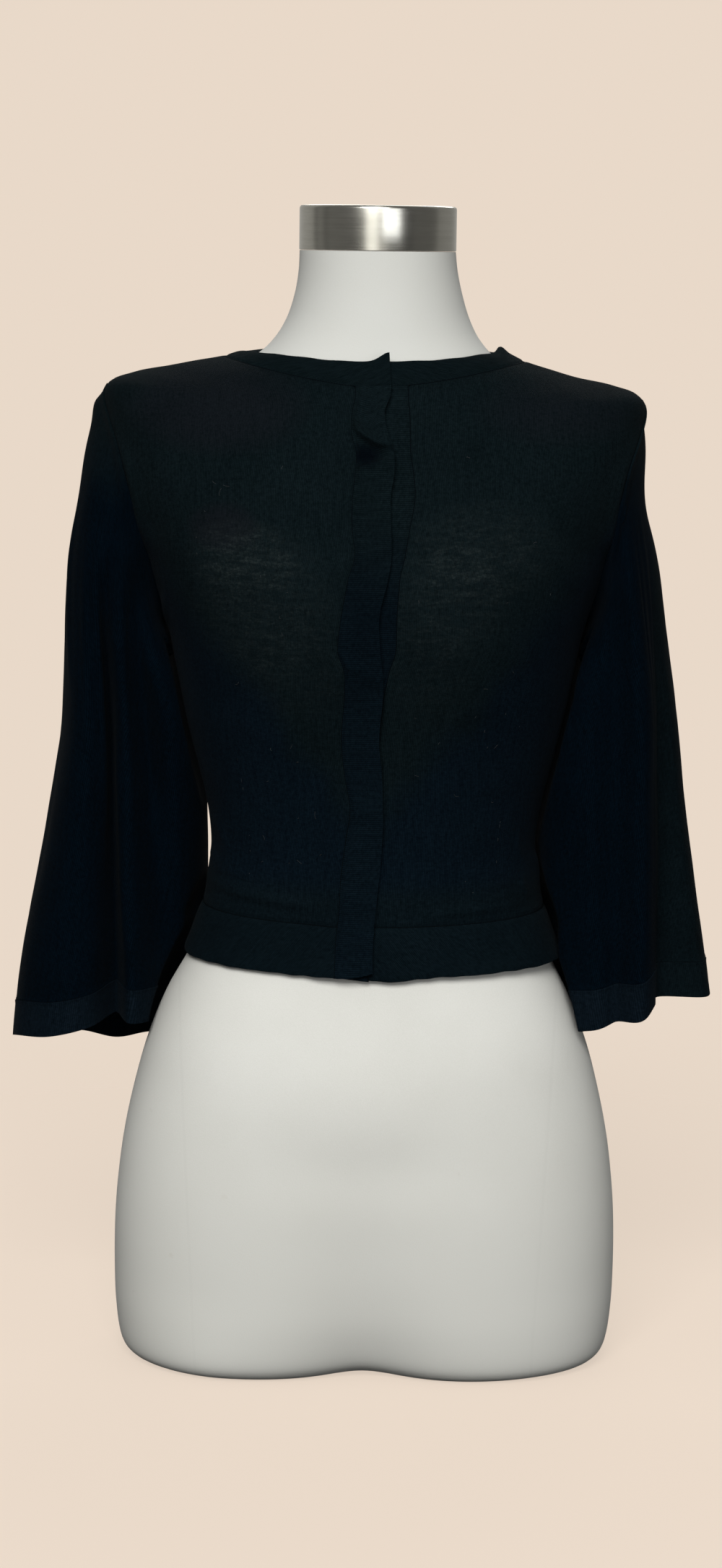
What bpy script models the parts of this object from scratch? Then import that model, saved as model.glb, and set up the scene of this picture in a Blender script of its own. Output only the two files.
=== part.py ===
"""A cropped cardigan in fine black knit, worn by a white limbless dress form.

The model stands on z = 0 with its front towards -Y. The wearer's right side is at -X.
The tables are in millimetres and the meshes in metres.

The torso is a family of closed rings. A ring is level round the hips and the waist. Above the
armpits it tilts, so that its front lies lower than its sides, and the last ring is the neckline.
A place on the torso is a height t, counted in rows of a ring table, and an angle: 0 at the
front, 90 degrees at +X and 180 at the back. Every piece of the cardigan is cut out of the
cloth's rings along its own seams, and the wall is the distance between its outer points and
the same points moved in along the surface's normals.
"""
import math
from collections import namedtuple

import bmesh
import bpy
from mathutils import Vector

MM = 0.001

# Driving dimensions in millimetres
WALL = 2.0                  # thickness of the knit
SEAM_GAP = 0.3              # between two pieces that are sewn together
LAP_LIFT = 3.0              # how far the overlapping front lies over the other one
LAP_RUN = 21.0              # width over which that front climbs, beside its band
UNDERLAP_WIDTH = 22.0
CUFF_HEIGHT = 25.0
HEM_REACH = 30.0            # how far below the hem a sleeve still keeps clear of it
CLEAR_SPAN = 24.0           # height above and below a sleeve's point over which it keeps clear
SLEEVE_CLEARANCE = 1.0      # between a sleeve and the body it hangs against
CAP_RADIUS = 52.3
CAP_HEIGHT = 29.5
CAP_EDGE = 2.2

# How finely the pieces are divided
FRONT_COLUMNS = 10
BACK_COLUMNS = 18
BAND_COLUMNS = 4
ARMHOLE_ROWS = 10
FORM_COLUMNS = 40
CAP_SEGMENTS = 40

QUARTER = math.pi / 2
DIP_WIDTH = 0.45            # of the hollows in the middle of the front and the back, in radians

# Rings, from the lowest up. side_z, front_z and back_z are a ring's heights at its sides, front
# and back, width is half of its width, front and back are its depths from the plane y = 0,
# corner is the exponent of its rounded outline (2 is an ellipse), and front_dip and back_dip
# are the depths of its hollows in the middle of the front and of the back.
Ring = namedtuple("Ring", "side_z front_z back_z centre_x width front back corner front_dip back_dip")

FORM_RINGS = [
    Ring(0, 0, 0, 0, 150, 92, 98, 2.7, 28, 3),
    Ring(4, 4, 4, 0, 161, 100, 107, 2.65, 22, 4),
    Ring(13, 13, 13, 0, 167, 105, 113, 2.6, 17, 5),
    Ring(34, 34, 34, 0, 170.3, 107, 116, 2.5, 13, 6),
    Ring(60, 60, 60, 0, 171.5, 106, 118, 2.4, 10, 6),
    Ring(90, 90, 90, 0, 171.4, 104, 119, 2.35, 7, 6),
    Ring(120, 120, 120, 0, 169.5, 102, 118, 2.3, 4, 5),
    Ring(155, 155, 155, 0, 165, 99, 114, 2.25, 1, 3),
    Ring(190, 190, 190, 0, 157.5, 96.5, 107, 2.2, 0, 1),
    Ring(220, 220, 220, 0, 149, 94, 99, 2.2, 0, 0),
    Ring(250, 250, 250, 0, 137, 91, 91, 2.15, 0, 0),
    Ring(280, 280, 280, 1, 121.5, 87, 82, 2.15, 0, 0),
    Ring(310, 310, 310, 2, 110, 83, 73, 2.15, 0, 0),
    Ring(345, 345, 345, 2.5, 103.5, 81.5, 68, 2.15, 0, 2),
    Ring(380, 380, 380, 2.5, 107, 84, 69, 2.15, 0, 3),
    Ring(415, 415, 415, 2.5, 114, 90, 74, 2.15, 1, 3),
    Ring(450, 450, 450, 2.5, 121, 99, 80, 2.15, 3, 3),
    Ring(485, 485, 485, 2.5, 128, 111, 86, 2.15, 7, 3),
    Ring(515, 515, 515, 2, 135, 119, 91, 2.2, 11, 3),
    Ring(545, 541, 543, 2, 143, 119, 94, 2.2, 11, 2),
    Ring(578, 567, 574, 1, 153, 111, 94, 2.3, 7, 2),
    Ring(610, 592, 602, 0, 164, 102, 92, 2.4, 3, 1),
    Ring(633, 612, 625, 0, 169, 94, 88, 2.5, 0, 0),
    Ring(648.5, 630, 641.5, 0, 162, 87, 82.5, 2.5, 0, 0),
    Ring(658, 643, 653, 0, 144, 80.5, 76, 2.45, 0, 0),
    Ring(665, 654, 662, 0, 119, 74, 69, 2.3, 0, 0),
    Ring(672.5, 664, 670.5, 0, 97, 68, 62.5, 2.2, 0, 0),
    Ring(681.5, 675.5, 680.5, 0, 80, 62.5, 57.5, 2.1, 0, 0),
    Ring(693, 689, 692.5, 0.5, 68.5, 58.5, 54.5, 2.05, 0, 0),
    Ring(707, 704, 706, 1, 60.8, 56, 53, 2, 0, 0),
    Ring(723, 722, 723, 1, 55.8, 53.8, 52.2, 2, 0, 0),
    Ring(738, 738, 738, 0.5, 53, 52.6, 52, 2, 0, 0),
    Ring(751, 751, 751, 0, 52, 52, 52, 2, 0, 0),
]

CLOTH_RINGS = [
    Ring(279, 276, 284, 3.5, 129.5, 94.5, 91, 2.15, 0, 0),
    Ring(312.5, 310, 316, 3, 116.5, 91.5, 82.5, 2.15, 0, 0),
    Ring(330, 328, 333, 2.8, 113, 92, 79.5, 2.15, 0, 0),
    Ring(354, 352, 356, 2.5, 110, 92, 77, 2.15, 0, 0),
    Ring(382, 381, 384, 2.5, 113.5, 94.5, 78, 2.15, 0, 0),
    Ring(412, 411, 414, 2.5, 120.5, 99.5, 81.5, 2.15, 0, 0),
    Ring(444, 443, 446, 2.5, 128.5, 107, 87, 2.15, 0, 0),
    Ring(475, 475, 476, 2.5, 135, 117, 92, 2.15, 0, 0),
    Ring(503, 505, 505, 2.5, 140.5, 124, 96, 2.2, 0, 0),
    Ring(541, 537, 540, 2, 153, 126, 99.5, 2.25, 0, 0),
    Ring(576, 563, 571, 1, 165, 119.5, 99.5, 2.35, 0, 0),
    Ring(609, 588, 600, 0, 173.5, 110.5, 97.5, 2.45, 0, 0),
    Ring(638, 611, 627, -0.5, 180, 101.5, 93.5, 2.5, 0, 0),
    Ring(658.5, 631, 647, -1, 179, 93.5, 88, 2.5, 0, 0),
    Ring(666, 641, 657, -1, 161.5, 88, 83, 2.45, 0, 0),
    Ring(671, 649, 665, -1, 138, 83.5, 77.5, 2.35, 0, 0),
    Ring(676, 657, 672, -1, 118, 79.5, 72, 2.25, 0, 0),
    Ring(680.5, 664, 679, -1, 100, 75.5, 66, 2.15, 0, 0),
    Ring(686, 680, 692, -1.5, 83.5, 69, 58.5, 2.1, 0, 0),
]

# Heights of the cloth's seams, counted in rows of CLOTH_RINGS
HEM, BAND_SEAM, ARMPIT, SHOULDER_TIP, COLLAR_SEAM, NECKLINE = 0, 1, 8, 13, 17, 18

# Where the front bands run, at heights above the floor. lap_seam is where the upper band is
# sewn to the right front, free_edge its other edge, under_seam where the lower band is sewn to
# the left front, and pucker how far the upper band stands out there.
BandPlace = namedtuple("BandPlace", "z lap_seam free_edge under_seam pucker")

BAND_PLACES = [
    BandPlace(276, -21.5, 3, 0, 0),
    BandPlace(299, -21, 3, 0, 0.6),
    BandPlace(322, -19, 4.5, 1, 0),
    BandPlace(345, -18, 6.5, 2, 0.8),
    BandPlace(371, -15, 8, 3, 0.2),
    BandPlace(389, -13, 8, 4, 1.2),
    BandPlace(414, -17, 7, 4, 0),
    BandPlace(436, -19, 5, 5, 0.4),
    BandPlace(466, -17.5, 7, 8, 0),
    BandPlace(482, -18, 6.5, 11, 1.6),
    BandPlace(495, -22, 5, 15, 0.4),
    BandPlace(519, -20, 4, 15.5, 0),
    BandPlace(543, -16, 9, 17, 0.3),
    BandPlace(557, -12, 11, 20, 1.4),
    BandPlace(575, -14, 10.5, 23, 0.2),
    BandPlace(594, -14, 10, 26, 0),
    BandPlace(609, -12.5, 12, 25, 0.8),
    BandPlace(622, -12, 11.5, 23, 3.2),
    BandPlace(634, -15, 7.5, 22.5, 1.8),
    BandPlace(647, -15, 5.5, 22, 0.5),
    BandPlace(658, -13, 9, 21, 0),
    BandPlace(686, -13, 10, 20, 0),
]

# A sleeve's outline in plan, seen at its middle and at its hem, point by point round it: first
# its outer edge, then its front with the folds, its inner edge and its back. out is measured
# outwards from the middle of the body, back towards +Y, and hem_z is the height of the hem.
SleevePoint = namedtuple("SleevePoint", "place mid_out mid_back hem_out hem_back hem_z")

RIGHT_SLEEVE = [
    SleevePoint("outer edge", 211.5, 18, 242, 12, 213),
    SleevePoint("outer front", 205, -16, 235, -24, 220),
    SleevePoint("front fold", 193, -36, 212, -47, 221),
    SleevePoint("front fold, inner side", 182, -30, 188, -42, 225),
    SleevePoint("long valley", 175, -9, 171, -12, 231),
    SleevePoint("middle fold", 164, -31, 159, -34, 229),
    SleevePoint("short valley", 150, -14, 140, -10, 228),
    SleevePoint("inner fold", 133, -28, 124, 8, 227),
    SleevePoint("inner edge", 116, -8, 116, 32, 222),
    SleevePoint("inner back", 114, 24, 112, 56, 214),
    SleevePoint("back fold, inner side", 124, 50, 124, 80, 208),
    SleevePoint("back fold", 150, 62, 155, 86, 205),
    SleevePoint("back valley", 168, 50, 176, 62, 204),
    SleevePoint("outer back fold", 186, 65, 201, 80, 204),
    SleevePoint("outer back", 202, 56, 223, 68, 206),
    SleevePoint("outer edge, behind", 211, 38, 239, 42, 209),
]

LEFT_SLEEVE = [
    SleevePoint("outer edge", 210.5, 30, 234.5, 28, 242),
    SleevePoint("outer front", 206, 10, 229, 3, 243),
    SleevePoint("hidden valley", 191, -3, 199, -10, 245),
    SleevePoint("front lobe, crisp edge", 190, -28, 194, -36, 243),
    SleevePoint("front lobe", 180, -42, 183, -50, 236),
    SleevePoint("soft valley", 164, -30, 168, -38, 234),
    SleevePoint("front lobe, inner side", 144, -38, 152, -42, 229),
    SleevePoint("inner front", 122, -24, 124, -20, 227),
    SleevePoint("inner edge", 112, 2, 118, 8, 229),
    SleevePoint("inner back", 114, 34, 114, 38, 234),
    SleevePoint("back fold, inner side", 126, 56, 122, 68, 238),
    SleevePoint("back fold", 150, 65, 152, 84, 240),
    SleevePoint("back valley", 168, 52, 176, 64, 241),
    SleevePoint("outer back fold", 187, 67, 201, 84, 241),
    SleevePoint("outer back", 201, 60, 219, 74, 241),
    SleevePoint("outer edge, behind", 209, 48, 232, 54, 241),
]

SLEEVE_MIDDLE = 415.0       # height of the middle outline
FLARE = 0.95                # how fast a sleeve widens at its middle
SEAM_RUN = 12.0             # how far a sleeve keeps the direction of the body's cloth
UNDERARM_OUT = 34.0         # how strongly it then turns outwards under the arm
HEAD_DROP = 310.0           # how strongly it turns down at the shoulder
SHOULDER_LEAN = 0.016       # the right shoulder is this much higher for each unit of width
ARMHOLE_FRONT = 0.30        # how far the armhole cuts into the front, in radians
ARMHOLE_BACK = 0.34
ARMHOLE_FULLNESS = 0.62     # below 1, its curve is round near the armpit
SLEEVE_ROWS = (0, 0.045, 0.12, 0.22, 0.36, 0.54, 0.76, 1, 1.22, 1.44, 1.66)

# side is -1 on the wearer's right, head_out is how strongly the sleeve turns outwards at the
# shoulder, and bell how fast it still widens at its hem
Sleeve = namedtuple("Sleeve", "name cuff outline side head_out bell")

SLEEVES = [
    Sleeve("right_sleeve", "right_cuff", RIGHT_SLEEVE, -1, 112.0, 0.4),
    Sleeve("left_sleeve", "left_cuff", LEFT_SLEEVE, 1, 22.0, 0.9),
]

# Finishes: red, green, blue, roughness, metallic
FINISHES = {
    "knit": (0.006, 0.009, 0.011, 0.92, 0.0),
    "rib": (0.005, 0.008, 0.010, 0.90, 0.0),
    "jersey": (0.66, 0.66, 0.62, 0.85, 0.0),
    "steel": (0.42, 0.41, 0.37, 0.32, 1.0),
}


def between(rows, t, ring=False):
    """Read a table at a fractional row, along a smooth curve through its numbers."""
    count = len(rows)
    low = math.floor(t) if ring else min(max(math.floor(t), 0), count - 2)
    part = t - low

    def pick(index):
        return rows[index % count] if ring else rows[min(max(index, 0), count - 1)]

    before, first, second, after = (pick(low + step) for step in (-1, 0, 1, 2))
    values = []
    for a, b, c, d in zip(before, first, second, after):
        if isinstance(b, str):
            values.append(b)
            continue
        slope_in, slope_out = (c - a) / 2, (d - b) / 2
        rise = c - b
        curve = (2 * slope_in + slope_out - 3 * rise) * -1
        values.append(b + part * (slope_in + part * (curve + part * (slope_in + slope_out - 2 * rise))))
    return type(first)(*values)


def smooth_step(value):
    value = min(max(value, 0.0), 1.0)
    return value * value * (3 - 2 * value)


def bump(value):
    """A soft hump, 1 at zero."""
    return math.exp(-value * value)


def ring_point(ring, angle):
    """The point of a ring at an angle, in metres."""
    sine, cosine = math.sin(angle), math.cos(angle)
    faces_front = cosine > 0
    depth = ring.front if faces_front else ring.back
    radius = (abs(sine / ring.width) ** ring.corner + abs(cosine / depth) ** ring.corner) ** (-1 / ring.corner)
    turn = math.atan2(abs(sine), abs(cosine))
    radius -= (ring.front_dip if faces_front else ring.back_dip) * bump(turn / DIP_WIDTH)
    end_z = ring.front_z if faces_front else ring.back_z
    leaning = smooth_step((ring.side_z - 540) / 100) * smooth_step((688 - ring.side_z) / 16)
    z = ring.side_z + (end_z - ring.side_z) * cosine * cosine - SHOULDER_LEAN * leaning * radius * sine
    return Vector((ring.centre_x + radius * sine, -radius * cosine, z)) * MM


def form_point(t, angle):
    return ring_point(between(FORM_RINGS, t), angle)


def lap_lift(t, angle):
    """How far the right front is lifted where its band lies over the left front."""
    point = ring_point(between(CLOTH_RINGS, t), angle)
    seam = band_place(point.z / MM).lap_seam
    return LAP_LIFT * smooth_step(1 - (seam - 4 - point.x / MM) / LAP_RUN)


def cloth_point(t, angle, lapped=False):
    """The outer face of the cardigan's body, with the right front's lift where it is lapped."""
    point = ring_point(between(CLOTH_RINGS, t), angle)
    if lapped:
        outward = Vector((math.sin(angle), -math.cos(angle), 0))
        point += outward * lap_lift(t, angle) * MM
    return point


def cloth_normal(t, angle, lapped=False):
    small = 0.01
    across = cloth_point(t, angle + small, lapped) - cloth_point(t, angle - small, lapped)
    low, high = max(t - small, 0), min(t + small, NECKLINE)
    up = cloth_point(high, angle, lapped) - cloth_point(low, angle, lapped)
    return across.cross(up).normalized()


def band_place(z):
    """Where the front bands run at a height in millimetres."""
    heights = [place.z for place in BAND_PLACES]
    if z <= heights[0]:
        return BAND_PLACES[0]
    for row in range(len(heights) - 1):
        if z <= heights[row + 1]:
            part = (z - heights[row]) / (heights[row + 1] - heights[row])
            return between(BAND_PLACES, row + part)
    return BAND_PLACES[-1]


def angle_at(t, x):
    """The angle at which the cloth's front is x millimetres from the middle."""
    low, high = -0.9, 0.9
    for step in range(30):
        middle = (low + high) / 2
        if cloth_point(t, middle).x / MM < x:
            low = middle
        else:
            high = middle
    return (low + high) / 2


def seam_angle(t, name, shift=0.0):
    """The angle of one of the front bands' edges at a height t."""
    angle = 0.0
    for step in range(2):
        place = band_place(cloth_point(t, angle).z / MM)
        x = place.under_seam - UNDERLAP_WIDTH if name == "under_edge" else getattr(place, name)
        angle = angle_at(t, x + shift)
    return angle


def gap_angle(t, angle):
    """Half a seam's gap, as an angle."""
    return SEAM_GAP / 2 * MM / cloth_point(t, angle).xy.length


def armhole_angle(t, depth):
    """How far from the side the armhole's edge is, as an angle."""
    if t <= ARMPIT or t >= SHOULDER_TIP:
        return 0.0
    part = (t - ARMPIT) / (SHOULDER_TIP - ARMPIT)
    return depth * math.sin(math.pi * part) ** (ARMHOLE_FULLNESS if part < 0.5 else 1)


def spaced(first, last, count):
    return [first + (last - first) * step / count for step in range(count + 1)]


def body_rows():
    """Heights of the rows of points on the fronts and the back."""
    lower = spaced(BAND_SEAM, ARMPIT, 8)
    arm = spaced(ARMPIT, SHOULDER_TIP, ARMHOLE_ROWS)
    shoulder = spaced(SHOULDER_TIP, COLLAR_SEAM, 4)
    return lower + arm[1:] + shoulder[1:]


def make_material(name):
    red, green, blue, roughness, metallic = FINISHES[name]
    material = bpy.data.materials.new(name)
    material.use_nodes = True
    shader = material.node_tree.nodes["Principled BSDF"]
    shader.inputs["Base Color"].default_value = (red, green, blue, 1)
    shader.inputs["Roughness"].default_value = roughness
    shader.inputs["Metallic"].default_value = metallic
    material.diffuse_color = (red, green, blue, 1)
    return material


def add_object(name, shape, material):
    """Turn a bmesh into an object."""
    mesh = bpy.data.meshes.new(name)
    shape.to_mesh(mesh)
    shape.free()
    mesh.shade_smooth()
    mesh.set_sharp_from_angle(angle=math.radians(50))
    made = bpy.data.objects.new(name, mesh)
    mesh.materials.append(material)
    bpy.context.scene.collection.objects.link(made)
    return made


def make_wall(name, outer, inner, material, tube=False, turned=False):
    """A closed wall between two grids of points, outer[row][column] and inner[row][column].

    Columns run anticlockwise seen from above and rows run up, or the wall is turned. A tube's
    last column joins its first. The wall's edges are split along the same diagonals on every
    piece, so that two edges that face each other across a seam stay apart.
    """
    shape = bmesh.new()
    skins = [[[shape.verts.new(point) for point in row] for row in grid] for grid in (outer, inner)]
    rows, columns = len(outer), len(outer[0])

    def face(*corners):
        shape.faces.new(reversed(corners) if turned else corners)

    def edge_face(inner_start, inner_end, outer_end, outer_start, facing):
        face(*(inner_start, inner_end, outer_end)[::facing])
        face(*(inner_start, outer_end, outer_start)[::facing])

    last = columns if tube else columns - 1
    outside, inside = skins
    for row in range(rows - 1):
        for column in range(last):
            after = (column + 1) % columns
            face(outside[row][column], outside[row][after], outside[row + 1][after], outside[row + 1][column])
            face(inside[row][after], inside[row][column], inside[row + 1][column], inside[row + 1][after])
    for column in range(last):
        after = (column + 1) % columns
        for row, facing in ((0, 1), (-1, -1)):
            edge_face(inside[row][column], inside[row][after], outside[row][after], outside[row][column], facing)
    if not tube:
        for row in range(rows - 1):
            for column, facing in ((0, -1), (-1, 1)):
                edge_face(inside[row][column], inside[row + 1][column],
                          outside[row + 1][column], outside[row][column], facing)
    return add_object(name, shape, material)


def cloth_wall(name, places, material, lapped=False, lift=None):
    """A wall cut from the cardigan's body. places holds rows of (t, angle)."""
    outer, inner = [], []
    for row in places:
        outer_row, inner_row = [], []
        for t, angle in row:
            normal = cloth_normal(t, angle, lapped)
            point = cloth_point(t, angle, lapped)
            if lift:
                point += normal * lift(t, angle) * MM
            outer_row.append(point)
            inner_row.append(point - normal * WALL * MM)
        outer.append(outer_row)
        inner.append(inner_row)
    return make_wall(name, outer, inner, material)


def panel_edges(t):
    """The angles of the seams round the body at a height: left front, back and right front."""
    side_gap = gap_angle(t, QUARTER)
    front_cut = armhole_angle(t, ARMHOLE_FRONT)
    back_cut = armhole_angle(t, ARMHOLE_BACK)
    left_start = seam_angle(t, "under_seam", SEAM_GAP / 2)
    right_end = seam_angle(t, "lap_seam", -SEAM_GAP / 2)
    return (
        (left_start, QUARTER - front_cut - side_gap),
        (QUARTER + back_cut + side_gap, 3 * QUARTER - back_cut - side_gap),
        (-QUARTER + front_cut + side_gap, right_end),
    )


def add_body(materials):
    """The two fronts and the back."""
    left, back, right = [], [], []
    for t in body_rows():
        left_edges, back_edges, right_edges = panel_edges(t)
        left.append([(t, angle) for angle in spaced(*left_edges, FRONT_COLUMNS)])
        back.append([(t, angle) for angle in spaced(*back_edges, BACK_COLUMNS)])
        right.append([(t, angle) for angle in spaced(*right_edges, FRONT_COLUMNS)])
    cloth_wall("left_front", left, materials["knit"])
    cloth_wall("back", back, materials["knit"])
    cloth_wall("right_front", right, materials["knit"], lapped=True)


def pucker(t, angle):
    """How far the upper band stands out of its even run."""
    place = band_place(cloth_point(t, angle).z / MM)
    return place.pucker


def add_front_bands(materials):
    """The band that laps over and the one under it, both from the hem to the neckband."""
    upper, lower = [], []
    for t in spaced(HEM, BAND_SEAM, 2)[:-1] + body_rows():
        upper_edges = (seam_angle(t, "lap_seam", SEAM_GAP / 2), seam_angle(t, "free_edge"))
        lower_edges = (seam_angle(t, "under_edge"), seam_angle(t, "under_seam", -SEAM_GAP / 2))
        upper.append([(t, angle) for angle in spaced(*upper_edges, BAND_COLUMNS)])
        lower.append([(t, angle) for angle in spaced(*lower_edges, BAND_COLUMNS)])
    cloth_wall("overlap_band", upper, materials["rib"], lapped=True, lift=pucker)
    cloth_wall("underlap_band", lower, materials["rib"])


def ring_columns(t):
    """The angles of every column round the body at a height, from left front to right front."""
    left_edges, back_edges, right_edges = panel_edges(t)
    left = spaced(*left_edges, FRONT_COLUMNS)
    back = spaced(*back_edges, BACK_COLUMNS)
    right = [angle + 4 * QUARTER for angle in spaced(*right_edges, FRONT_COLUMNS)]
    return left[:-1] + [QUARTER] + back[1:-1] + [3 * QUARTER] + right[1:]


def wrapped(angle):
    return angle - 4 * QUARTER if angle > 2 * QUARTER else angle


def strip_wall(name, rows, material):
    """A strip round the body whose second end is lifted as the right front is."""
    outer, inner = [], []
    for t, columns in rows:
        outer_row, inner_row = [], []
        for angle in columns:
            lapped = angle > 3 * QUARTER
            turn = wrapped(angle)
            normal = cloth_normal(t, turn, lapped)
            point = cloth_point(t, turn, lapped)
            outer_row.append(point)
            inner_row.append(point - normal * WALL * MM)
        outer.append(outer_row)
        inner.append(inner_row)
    return make_wall(name, outer, inner, material)


def add_bottom_band(materials):
    seam = BAND_SEAM - SEAM_GAP / (CLOTH_RINGS[BAND_SEAM].side_z - CLOTH_RINGS[HEM].side_z)
    rows = [(t, ring_columns(t)) for t in spaced(HEM, seam, 2)]
    strip_wall("bottom_band", rows, materials["rib"])


def add_neckband(materials):
    """The neckband, whose right end lies over its left end."""
    rise = (ring_point(CLOTH_RINGS[NECKLINE], 0) - ring_point(CLOTH_RINGS[COLLAR_SEAM], 0)).length / MM
    start = COLLAR_SEAM + 2 * SEAM_GAP / rise
    under = spaced(seam_angle(COLLAR_SEAM, "under_edge"), seam_angle(COLLAR_SEAM, "under_seam"), 3)
    over = spaced(seam_angle(COLLAR_SEAM, "lap_seam"), seam_angle(COLLAR_SEAM, "free_edge"), 3)
    columns = under[:-1] + ring_columns(COLLAR_SEAM) + [angle + 4 * QUARTER for angle in over[1:]]
    rows = [(t, columns) for t in spaced(start, NECKLINE, 2)]
    strip_wall("neckband", rows, materials["rib"])


def armhole_loop(side):
    """The armhole's edge as (point, normal, outward direction), from the shoulder by the front."""
    heights = spaced(ARMPIT, SHOULDER_TIP, ARMHOLE_ROWS)
    front = [(t, QUARTER - armhole_angle(t, ARMHOLE_FRONT), 1) for t in reversed(heights)]
    back = [(t, QUARTER + armhole_angle(t, ARMHOLE_BACK), -1) for t in heights]
    corners = []
    for t, angle, facing in front[:-1] + back[:-1]:
        point = cloth_point(t, side * angle)
        normal = cloth_normal(t, side * angle)
        corners.append((point, normal))
    loop = []
    count = len(corners)
    for index in range(count):
        point, normal = corners[index]
        ahead = corners[(index + 1) % count][0]
        behind = corners[index - 1][0]
        out = (ahead - behind).cross(normal).normalized() * -side
        loop.append((point, normal, out))
    halves = []
    for index in range(count):
        here, ahead = loop[index], loop[(index + 1) % count]
        halves.append(here)
        middle = [(a + b) / 2 for a, b in zip(here, ahead)]
        halves.append((middle[0], middle[1].normalized(), middle[2].normalized()))
    return halves


def body_reach(point, z):
    """How far the form or the cardigan's body reaches at a height in the direction of a point."""
    angle = math.atan2(point.x, -point.y)
    reach = 0.0
    for rings in (FORM_RINGS, CLOTH_RINGS):
        sides = [ring.side_z for ring in rings]
        if z < sides[0] - HEM_REACH or z > sides[SHOULDER_TIP]:
            continue
        row = max(index for index, side in enumerate(sides) if side <= max(z, sides[0]))
        t = row + max(z - sides[row], 0) / (sides[row + 1] - sides[row])
        if rings is CLOTH_RINGS:
            cut = ARMHOLE_FRONT if point.y < 0 else ARMHOLE_BACK
            if abs(abs(angle) - QUARTER) < armhole_angle(t, cut):
                continue
        reach = max(reach, ring_point(between(rings, t), angle).xy.length)
    return reach


def hermite(start, end, leave, arrive, part):
    square, cube = part * part, part ** 3
    return (start * (2 * cube - 3 * square + 1) + leave * (cube - 2 * square + part)
            + end * (3 * square - 2 * cube) + arrive * (cube - square))


def sleeve_point(sleeve, loop, column, part):
    """A point of a sleeve. part runs from 0 at the armhole by 1 at its middle to 2 at its hem."""
    start, normal, out = loop[column]
    plan = between(sleeve.outline, column * len(sleeve.outline) / len(loop), ring=True)
    middle = Vector((sleeve.side * plan.mid_out, plan.mid_back, SLEEVE_MIDDLE)) * MM
    hem = Vector((sleeve.side * plan.hem_out, plan.hem_back, plan.hem_z)) * MM
    armpit_z, tip_z = CLOTH_RINGS[ARMPIT].side_z, CLOTH_RINGS[SHOULDER_TIP].side_z
    height = min(max((start.z / MM - armpit_z) / (tip_z - armpit_z), 0), 1)
    outwards = UNDERARM_OUT + (sleeve.head_out - UNDERARM_OUT) * smooth_step(height)
    leaving = (out * SEAM_RUN + normal * outwards - Vector((0, 0, HEAD_DROP * height))) * MM
    passing = (hem - middle) * FLARE
    passing.z = (hem - start).z / 2
    if part < 1:
        point = hermite(start + out * SEAM_GAP * MM, middle, leaving, passing, part)
    else:
        widening = (hem - middle) * sleeve.bell
        widening.z = (hem - middle).z
        point = hermite(middle, hem, passing, widening, part - 1)
    z = point.z / MM
    levels = (z - CLEAR_SPAN, z - CLEAR_SPAN / 2, z, z + CLEAR_SPAN / 2, z + CLEAR_SPAN)
    near = max(body_reach(point, level) for level in levels) + SLEEVE_CLEARANCE * MM
    if part > 0.04 and point.xy.length < near:
        point.xy = point.xy.normalized() * near
    return point


def sleeve_normals(sleeve, loop, part):
    """The outward directions round a sleeve, across its points at one height and a little lower."""
    if part == 0:
        return [normal for point, normal, out in loop]
    count = len(loop)
    points = [sleeve_point(sleeve, loop, column, part) for column in range(count)]
    normals = []
    for column in range(count):
        down = sleeve_point(sleeve, loop, column, part + 0.01) - points[column]
        across = points[(column + 1) % count] - points[column - 1]
        normals.append(across.cross(down).normalized() * sleeve.side)
    return normals


def add_sleeve(sleeve, materials):
    """A sleeve and its cuff, whose walls stand in the same direction at their seam."""
    loop = armhole_loop(sleeve.side)
    length = SLEEVE_MIDDLE - sleeve.outline[0].hem_z
    seam = 2 - CUFF_HEIGHT / length
    below = seam + SEAM_GAP / length
    pieces = (
        (sleeve.name, "knit", [(part, part) for part in SLEEVE_ROWS + (seam,)]),
        (sleeve.cuff, "rib", [(below, seam), ((seam + 2) / 2, (seam + 2) / 2), (2, 2)]),
    )
    for name, material, rows in pieces:
        outer, inner = [], []
        for part, normal_part in rows:
            normals = sleeve_normals(sleeve, loop, normal_part)
            points = [sleeve_point(sleeve, loop, column, part) for column in range(len(loop))]
            outer.append(points)
            inner.append([point - normal * WALL * MM for point, normal in zip(points, normals)])
        make_wall(name, outer, inner, materials[material], tube=True, turned=sleeve.side < 0)


def add_dress_form(materials):
    """The white torso: a closed stack of rings, flat below and at the top of its neck."""
    shape = bmesh.new()
    heights = spaced(0, 3, 4) + list(range(4, 12, 2)) + list(range(12, len(FORM_RINGS)))
    stack = []
    for t in heights:
        angles = [4 * QUARTER * step / FORM_COLUMNS for step in range(FORM_COLUMNS)]
        stack.append([shape.verts.new(form_point(t, angle)) for angle in angles])
    for lower, upper in zip(stack, stack[1:]):
        for column in range(FORM_COLUMNS):
            after = (column + 1) % FORM_COLUMNS
            shape.faces.new((lower[column], lower[after], upper[after], upper[column]))
    shape.faces.new(reversed(stack[0]))
    shape.faces.new(stack[-1])
    add_object("dress_form", shape, materials["jersey"])


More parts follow.
